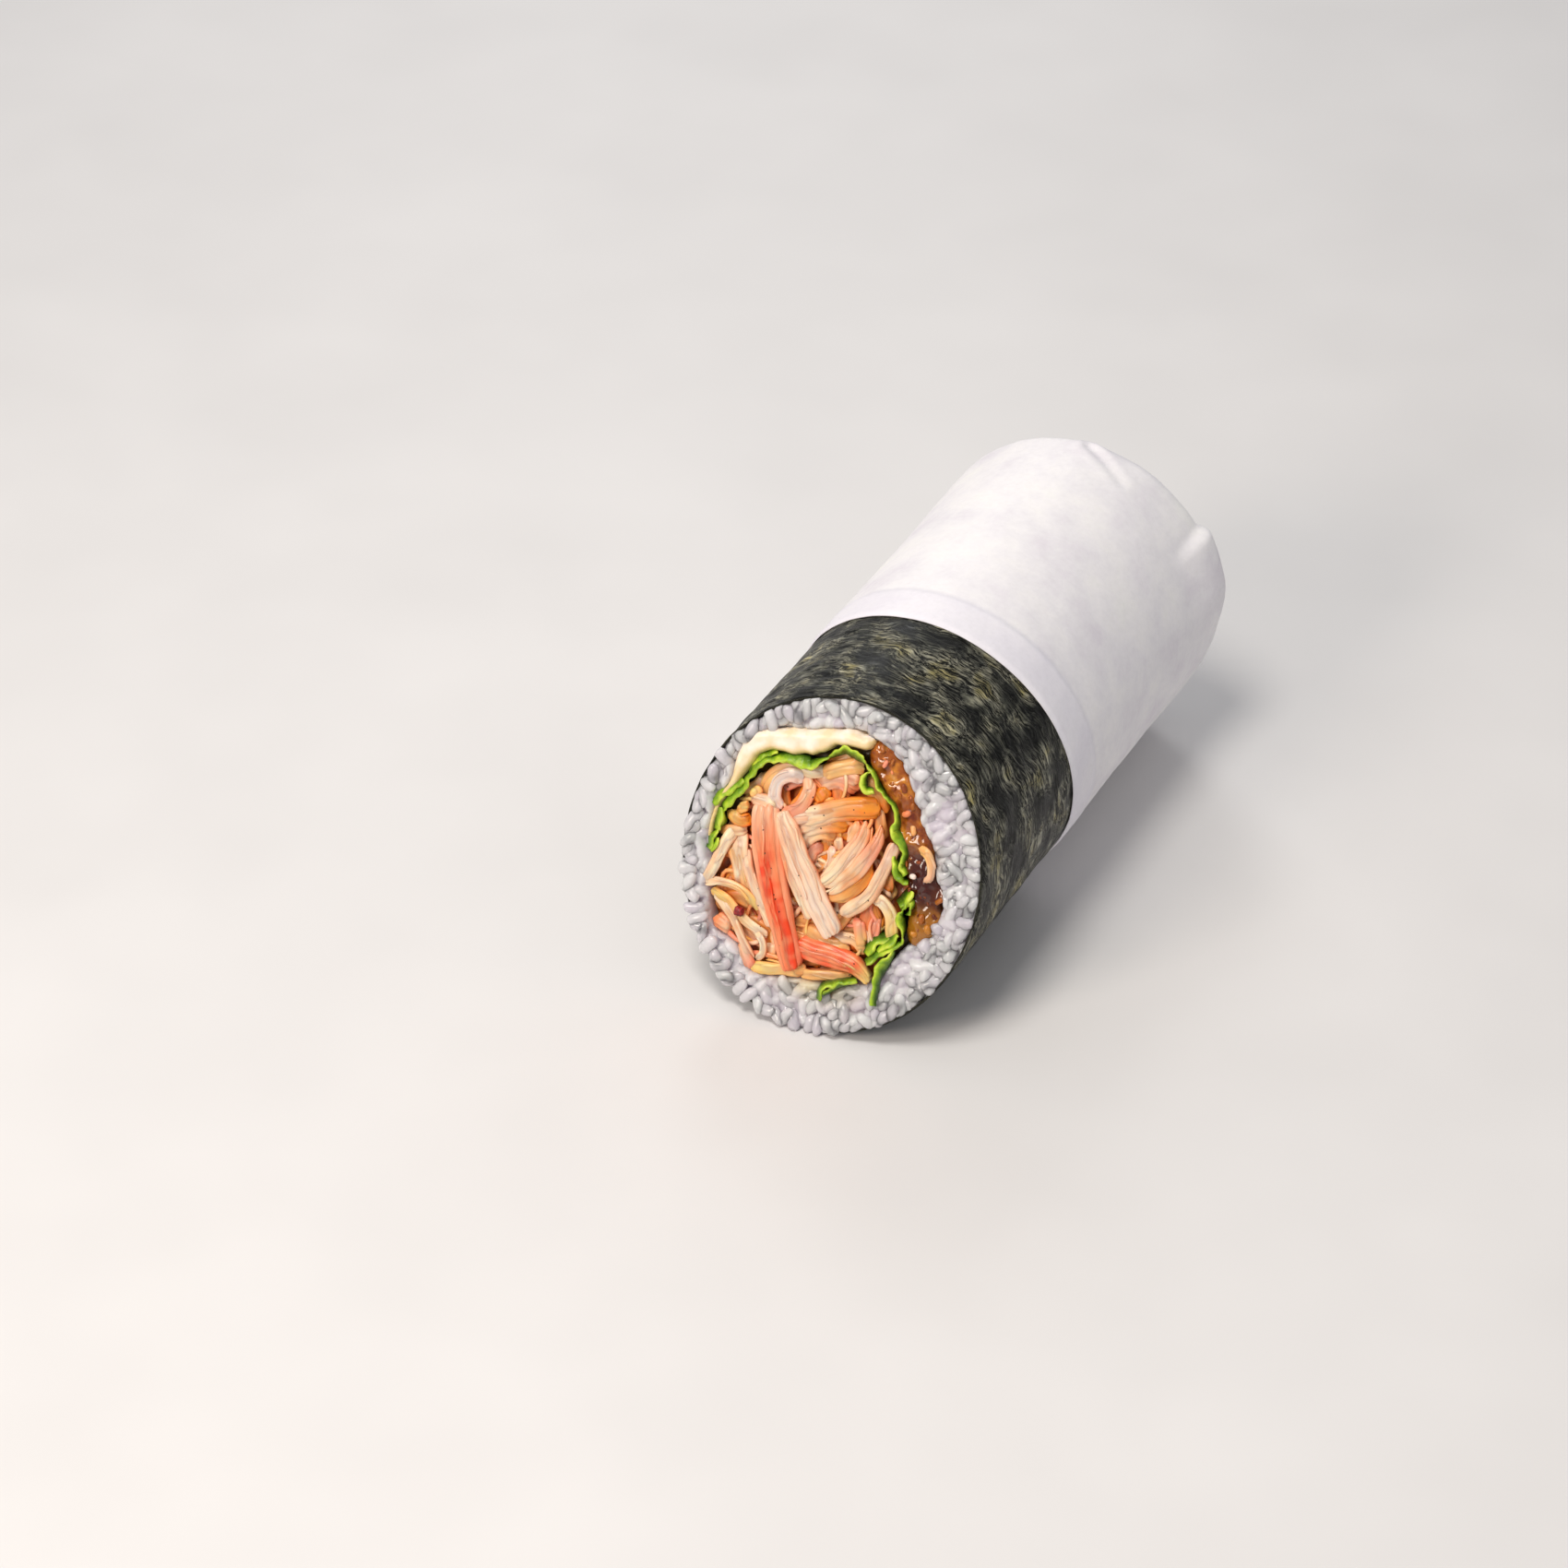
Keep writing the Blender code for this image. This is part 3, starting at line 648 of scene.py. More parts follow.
rice = {
    "radius": 34.3,
    "length": 5.4,  # cooked short grain
    "width": 2.7,
    "lengths": (0.8, 1.1),  # least and greatest share of the length
    "widths": (0.88, 1.12),
    "spacing": 2.2,  # between the grains of the fused face
    "draws": 9000,
    "onEnd": 0.2,  # share of the grains that stand on end
    "floor": -1.5,  # how far back the gaps go
    "blend": 0.1,  # starch that rounds off where two grains meet
    "cell": 4,
    "columns": 620,
    "rows": 34,
    "rimSpacing": 2.3,
    "loose": 95,
    "sides": 14,
    "rings": 9,
    "clear": 0.2,  # least height over the board
    "seed": 5,
}


def makeRiceMaterial():
    # steamedRice: short grain, boiled and dressed with vinegar, so translucent white with a starchy
    # wet gloss
    material, tree = newMaterial("steamedRice", Roughness=0.2, IOR=1.4, Subsurface_Weight=0.85,
                                 Transmission_Weight=0.24, Coat_Weight=0.3, Coat_Roughness=0.08,
                                 Subsurface_Radius=(1.0, 0.94, 0.98), Subsurface_Scale=3.6 * mm)
    grain = addNode(tree, "Attribute", attribute_name="grain").outputs["Vector"]
    parts = addNode(tree, "SeparateXYZ", {"Vector": grain})
    tone = addNode(tree, "ValToRGB", {"Fac": parts.outputs["X"]},
                   stops=[(0.0, "#ddd4e1"), (0.4, "#f4edf5"), (1.0, "#fffcff")])
    warm = addNode(tree, "Mix", {"Factor": parts.outputs["Y"], "A": tone, "B": "#efdcb6"}, data_type="RGBA")
    place = addNode(tree, "TexCoord").outputs["Object"]
    chalk = addNode(tree, "TexNoise", {"Vector": place, "Scale": perMetre(1.6), "Detail": 2.0})
    veil = addNode(tree, "ValToRGB", {"Fac": chalk}, stops=[(0.3, 0.90), (0.6, 1.0)])
    colour = addNode(tree, "Mix", {"Factor": 1.0, "A": warm, "B": veil}, data_type="RGBA",
                     blend_type="MULTIPLY")
    return finishMaterial(material, {"Base Color": colour}, chalk, 0.15, 0.2)


def riceBulge(x, z):
    # the cut rice swells out past the seaweed below and to the left
    turn = math.degrees(math.atan2(z, x))
    return bell(wrapAngle(turn + 126) / 72) * smoothStep(24, 34, math.hypot(x, z))


def warmRice(x, z):
    # mayonnaise and crab juice tint the rice under the shred
    return bell((x - 1) / 9) * bell((z + 25.5) / 3.2)


def packGrains(draw):
    # the fused grains, by the cells that they can reach:
    # place, direction, half length, half width, top, tilt, bend and tone
    cells, placed = {}, []
    size = rice["cell"]
    for _ in range(rice["draws"]):
        x, z = draw.uniform(-36, 36), draw.uniform(-36, 36)
        if not 15 < math.hypot(x, z) < 36:
            continue
        if any(math.hypot(x - a, z - b) < rice["spacing"] for a, b in placed):
            continue
        placed.append((x, z))
        turn = draw.uniform(0, math.pi)
        onEnd = draw.random() < rice["onEnd"]
        half = rice["width"] * 0.55 if onEnd else rice["length"] / 2 * draw.uniform(*rice["lengths"])
        side = rice["width"] / 2 * draw.uniform(*rice["widths"])
        grain = (x, z, math.cos(turn), math.sin(turn), half, side, draw.uniform(-0.9, 0.5),
                 draw.uniform(-0.22, 0.22), draw.uniform(-0.09, 0.09), draw.random())
        for column in range(int((x - size) // size), int((x + size) // size) + 1):
            for row in range(int((z - size) // size), int((z + size) // size) + 1):
                cells.setdefault((column, row), []).append(grain)
    return cells


def riceFace(x, z, cells):
    # how far the fused face stands out here, and the tone of the grains that make it
    floor = rice["floor"] + 0.4 * ripple(x, z, 2, 2)
    total = math.exp(floor / rice["blend"])
    tones = total * 0.3
    cell = (x // rice["cell"], z // rice["cell"])
    for gx, gz, c, s, half, side, top, tilt, bend, tone in cells.get(cell, ()):
        along = (x - gx) * c + (z - gz) * s
        across = (z - gz) * c - (x - gx) * s - bend * (along * along - half)
        reach = (abs(along) / half) ** 2.6 + (across / side) ** 2
        if reach < 1.3:
            drop = 1 - math.sqrt(1 - reach) if reach < 0.96 else 0.8 + (reach - 0.96) * 3
            dent = 0.16 * ripple(along, across, tone * 90, 1.7)
            weight = math.exp((top + tilt * along - drop * side * 1.25 + dent) / rice["blend"])
            total += weight
            tones += weight * tone
    return rice["blend"] * math.log(total), tones / total


def fillingEdge(turn):
    # how far from the axis the fillings reach in one direction
    low, high = 12.0, 33.0
    for _ in range(16):
        middle = (low + high) / 2
        if insideLoop(middle * math.cos(turn), middle * math.sin(turn), loops["fillings"]):
            low = middle
        else:
            high = middle
    return low


def riceRingShape(cells):
    # a ring of quads: the fused front, then the outside, the back and the inside
    columns, rows = rice["columns"], rice["rows"]
    turns = [math.tau * column / columns for column in range(columns)]
    inner = [fillingEdge(turn) for turn in turns]
    points, values = [], []
    for row in range(rows + 1):
        for turn, near in zip(turns, inner):
            c, s = math.cos(turn), math.sin(turn)
            swell = riceBulge(34 * c, 34 * s) * (1 + 0.9 * ripple(turn * 34, 0, 3, 3))
            outer = rice["radius"] + 0.9 * swell
            far = near + (outer - near) * row / rows
            stand, tone = riceFace(far * c, far * s, cells)
            stand += 0.7 * riceBulge(far * c, far * s)
            stand -= 0.35 * math.exp((far - outer) / 0.5) + 1.2 * math.exp((near - far) / 0.35)
            spot = onCut(far * c, max(far * s, board + 0.4), stand)
            spot.z = max(spot.z, rice["clear"] * mm)
            points.append(spot)
            values.append((tone, warmRice(far * c, far * s), 0))
    outside = [rice["radius"] - 0.2] * columns
    for reach, depth in ((outside, 2.4), (outside, None), (inner, None), (inner, 3)):
        for turn, far in zip(turns, reach):
            x, z = far * math.cos(turn), max(far * math.sin(turn), board + 0.4)
            points.append(onCut(x, z, -depth) if depth else inRoll(x, roll["length"] - backGap, z))
            values.append((0.5, 0, 0))
    return points, ringFaces(rows + 5, columns, closed=True), {"grain": values}


def grainPoints(draw):
    # one grain along X: plump, a little bent and dented
    length = rice["length"] * draw.uniform(*rice["lengths"])
    width = rice["width"] * draw.uniform(*rice["widths"])
    bend, flat = draw.uniform(-0.4, 0.4), draw.uniform(0.72, 0.9)
    seed = draw.uniform(0, 90)
    points = [Vector((-length / 2, bend, 0))]
    for ring in range(1, rice["rings"]):
        along = -math.cos(math.pi * ring / rice["rings"])
        radius = width / 2 * (1 - abs(along) ** 2.6) ** 0.5
        for side in range(rice["sides"]):
            turn = math.tau * side / rice["sides"]
            y, z = math.cos(turn) * radius, math.sin(turn) * radius * flat
            dent = 0.24 * ripple(along * length / 2, y, z + seed, 2.2)
            push = 1 + dent / max(radius, 0.4)
            points.append(Vector((along * length / 2, y * push + bend * along * along, z * push)))
    points.append(Vector((length / 2, bend, 0)))
    return points


def grainSpots(draw, cells):
    # where the separate grains lie: x, z, how far they stand out, and the bulge of the rim there
    spots = []
    count = int(math.tau * 33 / rice["rimSpacing"])
    for index in range(count):  # the rim, grain beside grain just inside the seaweed
        turn = math.tau * (index + draw.uniform(-0.35, 0.35)) / count
        bulge = riceBulge(33 * math.cos(turn), 33 * math.sin(turn))
        out = rice["radius"] - 1.6 + 1.5 * bulge + draw.uniform(-0.4, 0.2)
        stand = -0.75 + 1.2 * bulge + draw.uniform(-0.4, 0.5)
        spots.append((out * math.cos(turn), out * math.sin(turn), stand, bulge))
    fillings = loops["fillings"]
    while len(spots) < count + rice["loose"]:
        x, z = draw.uniform(-33, 33), draw.uniform(-33, 33)
        if math.hypot(x, z) < 32 and not insideLoop(x, z, fillings) and edgeDistance(x, z, fillings) > 1.6:
            stand = riceFace(x, z, cells)[0] - draw.uniform(0.6, 1.2) + 0.7 * riceBulge(x, z)
            spots.append((x, z, stand, 0.0))
    return spots


def makeRice(material):
    draw = random.Random(rice["seed"])
    cells = packGrains(draw)
    addPiece("riceFace", riceRingShape(cells), material, "rice", "rice")
    grains = []
    for x, z, stand, bulge in grainSpots(draw, cells):
        spin = Matrix.Rotation(draw.uniform(0, math.tau), 3, "Z")
        spin = spin @ Matrix.Rotation(draw.uniform(-0.4, 0.4), 3, "Y")
        tone = draw.random()
        points = []
        for point in grainPoints(draw):
            p = spin @ point
            limit = rice["radius"] + (0.2 + bulge * 1.6) * smoothStep(-1.4, 0.1, stand + p.z)
            shrink = min(1, limit / math.hypot(x + p.x, z + p.y))
            spot = onCut((x + p.x) * shrink, (z + p.y) * shrink, stand + p.z)
            spot.z = max(spot.z, rice["clear"] * mm)
            points.append(spot)
        values = {"grain": [(tone, warmRice(x, z), 0)] * len(points)}
        grains.append((points, lumpFaces(rice["sides"], rice["rings"]), values))
    addPiece("riceGrains", joinShapes(grains), material, "rice", "rice")


# mayonnaise: one soft line of it over the leaf

mayo = {"stand": -0.75, "swell": 1.495, "roundOver": 1.5, "step": 0.55, "edgePoints": 260}


def makeMayoMaterial():
    # eggMayonnaise: a whipped oil emulsion, squeezed on, so smooth, dense and softly glossy
    material, tree = newMaterial("eggMayonnaise", Roughness=0.3, IOR=1.46, Subsurface_Weight=0.35,
                                 Subsurface_Radius=(1.0, 0.8, 0.5), Subsurface_Scale=1.2 * mm)
    place = addNode(tree, "TexCoord").outputs["Object"]
    streak = addNode(tree, "TexNoise", {"Vector": place, "Scale": perMetre(4), "Detail": 3.0})
    tone = addNode(tree, "ValToRGB", {"Fac": streak},
                   stops=[(0.32, "#f0d9b2"), (0.5, "#f6e5cd"), (0.66, "#faf0e2")])
    side = addNode(tree, "Attribute", attribute_name="side").outputs["Vector"]
    leafEdgeShade = addNode(tree, "SeparateXYZ", {"Vector": side}).outputs["X"]
    # painted shade: along the edge that faces the leaf the cream is mixed toward a darker yellow
    leafEdgeShaded = addNode(tree, "Mix", {"Factor": leafEdgeShade, "A": tone, "B": "#eccd8c"}, data_type="RGBA")
    return finishMaterial(material, {"Base Color": leafEdgeShaded}, streak, 0.2, 0.3)


def makeMayo(material):
    wavy = []
    for spot in evenLine(loops["mayo"] + loops["mayo"][:1], mayo["edgePoints"])[:-1]:
        shift = 0.6 * ripple(spot.x, spot.y, 5, 3.2) + 0.3 * ripple(spot.x, spot.y, 2, 1.4)
        wavy.append(Vector((spot.x, spot.y + shift)))

    def stand(x, z, gap):
        edge = 1 - min(1.0, gap / mayo["roundOver"])
        waves = 0.5 * ripple(x, z, 3, 4) + 0.16 * ripple(x, z, 1, 1.8)
        return mayo["stand"] + mayo["swell"] * math.sqrt(max(0, 1 - edge * edge)) + waves

    def leafEdgeShade(x, z):
        # 1 along the edge that faces the leaf, where the mayonnaise is painted a darker yellow as shade
        atEdge = smoothStep(1.9, 0.2, edgeDistance(x, z, wavy))
        return atEdge * (not insideLoop(x * 0.93, z * 0.93, wavy)), 0, 0

    addPiece("mayoLayer", plugShape(wavy, stand, mayo["step"], side=leafEdgeShade), material, "mayo", "mayo")


# brown sauce with chopped bits in it

sauce = {
    "stand": -0.6,
    "step": 0.5,
    "bits": [  # x, z, length, width, proud, tint
        (8, 23.4, 1.8, 1.0, 0.3, "rose"), (6.6, 26.2, 1.8, 1.2, 0.1, "amber"),
        (13.2, 19.6, 2.2, 1.2, 0.4, "rust"),
        (14.8, 14.6, 2.2, 1.3, 0.4, "salmon"), (16.9, 11.6, 2.4, 1.3, 0.4, "tan"),
        (19.0, 2.4, 1.6, 1.1, 0.8, "white"),
        (25.8, -1.2, 2.2, 1.1, 0.5, "amber"), (22.6, -5.8, 2.2, 1.5, 0.3, "amber"),
        (24.4, -7.6, 2.2, 1.5, 0.3, "honey"),
        (21.4, -9.4, 1.8, 1.3, 0.2, "honey"),
    ],
    "shred": [(18.9, 8.2), (20.9, 7.6), (22.4, 5.6), (22.6, 3.2), (21.6, 1.8)],
    "scattered": 150,
    "above": ["rust", "amber", "honey", "amber", "darkTan", "salmon"],
    "below": ["maroon", "maroon", "rust", "amber"],
    "seed": 21,
}
tints = {
    "cream": "#ffddba", "shell": "#ffdac2", "pink": "#ffc9a8", "rose": "#f89c7e", "tan": "#fbba76",
    "darkTan": "#df7f32", "orange": "#f8902a", "lilac": "#fce0d2", "yellow": "#fbcd7c",
    "salmon": "#ff9a6a", "red": "#f6481a", "amber": "#a8621c", "honey": "#c98a2c", "rust": "#8a3f16",
    "maroon": "#561a10", "white": "#f4e8e4", "leafShade": "#4d5a24",
}


def makeSauceMaterial():
    # sweetSoyGlaze: soy and sugar boiled down and spooned on, so a clear brown syrup, amber where it
    # is thin
    material, tree = newMaterial("sweetSoyGlaze", Roughness=0.14, IOR=1.44, Subsurface_Weight=0.3,
                                 Subsurface_Radius=(1.0, 0.45, 0.12), Subsurface_Scale=1.5 * mm,
                                 Coat_Weight=0.4, Coat_Roughness=0.06)
    place = addNode(tree, "TexCoord").outputs["Object"]
    zone = addNode(tree, "Attribute", attribute_name="zone").outputs["Vector"]
    parts = addNode(tree, "SeparateXYZ", {"Vector": zone})
    pools = addNode(tree, "TexNoise",
                    {"Vector": place, "Scale": perMetre(4), "Detail": 3.0, "Roughness": 0.6})
    thick = addNode(tree, "ValToRGB", {"Fac": pools},
                    stops=[(0.34, "#6e2a10"), (0.5, "#a4581c"), (0.62, "#cf8428"), (0.7, "#dca25a")])
    dark = addNode(tree, "Mix", {"Factor": parts.outputs["X"], "A": thick, "B": "#42120a"}, data_type="RGBA")
    honey = addNode(tree, "Mix", {"Factor": parts.outputs["Y"], "A": dark, "B": "#a2681c"}, data_type="RGBA")
    return finishMaterial(material, {"Base Color": honey})


def colourOf(tint):
    return srgb(tints[tint])[:3]


def blend(first, second, share):
    return tuple(a + (b - a) * share for a, b in zip(first, second))


def lumpPoints(draw, length, width, height, sides=12, rings=7):
    # a chopped bit along X: a rounded lump with uneven faces
    seed = draw.uniform(0, 90)
    points = [Vector((-length / 2, 0, 0))]
    for ring in range(1, rings):
        along = -math.cos(math.pi * ring / rings)
        for side in range(sides):
            c, s = math.cos(math.tau * side / sides), math.sin(math.tau * side / sides)
            size = (1 - along ** 4) ** 0.5 * (1 + 0.35 * ripple(along * 2, c * 1.6, s * 1.6 + seed))
            points.append(Vector((along * length / 2, c * width / 2 * size, s * height / 2 * size)))
    points.append(Vector((length / 2, 0, 0)))
    return points


def sauceStand(x, z, gap):
    lumps = 0.7 * ripple(x, z, 4, 2.6) + 0.3 * ripple(x, z, 9, 1.1)
    return sauce["stand"] + lumps - 1.2 * math.exp(-gap / 0.6)


def sauceZone(x, z):
    # 1 where the glaze pools thick and dark, and how thin and honey-like it runs out below
    return math.exp(-((x - 21) / 6) ** 4 - ((z - 1) / 8) ** 4), smoothStep(-2, -7, z), 0


def makeSauce(sauceMaterial, bitMaterial):
    body = plugShape(loops["sauce"], sauceStand, sauce["step"], zone=sauceZone)
    addPiece("sauceLayer", body, sauceMaterial, "sauce", "brown_sauce")
    draw = random.Random(sauce["seed"])
    bits = list(sauce["bits"])
    for _ in range(sauce["scattered"]):
        x, z = draw.uniform(5, 27), draw.uniform(-11, 27)
        size = draw.uniform(0.5, 1.7)
        tint = draw.choice(sauce["above"] if z > 9 else sauce["below"])
        if insideLoop(x, z, loops["sauce"]) and edgeDistance(x, z, loops["sauce"]) > 0.5:
            bits.append((x, z, size, size * draw.uniform(0.35, 0.7), draw.uniform(-0.2, 0.3), tint))
    lumps = []
    for x, z, length, width, proud, tint in bits:
        lump = lumpPoints(draw, length, width, width * 0.9)
        turn = Matrix.Rotation(draw.uniform(0, math.pi), 3, "Z")
        turn = turn @ Matrix.Rotation(draw.uniform(-0.4, 0.4), 3, "Y")
        colour = blend(colourOf(tint), colourOf("amber"), draw.uniform(0, 0.3))
        top = sauceStand(x, z, 3) + proud - width * 0.15
        turned = [turn @ point for point in lump]
        points = [onCut(x + p.x, z + p.y, top + p.z) for p in turned]
        values = {"tint": [colour] * len(points), "strand": [(0, 0, 0)] * len(points)}
        lumps.append((points, lumpFaces(12, 7), values))
    addPiece("sauceBits", joinShapes(lumps), bitMaterial, "sauce")
    shred = strandBundles([("tan", "pink", 1.5, 1.0, sauce["shred"])], draw)
    addPiece("sauceShred", joinShapes(shred), bitMaterial, "sauce")


# crab: strands of it lie every way across the cut, with larger sticks on top

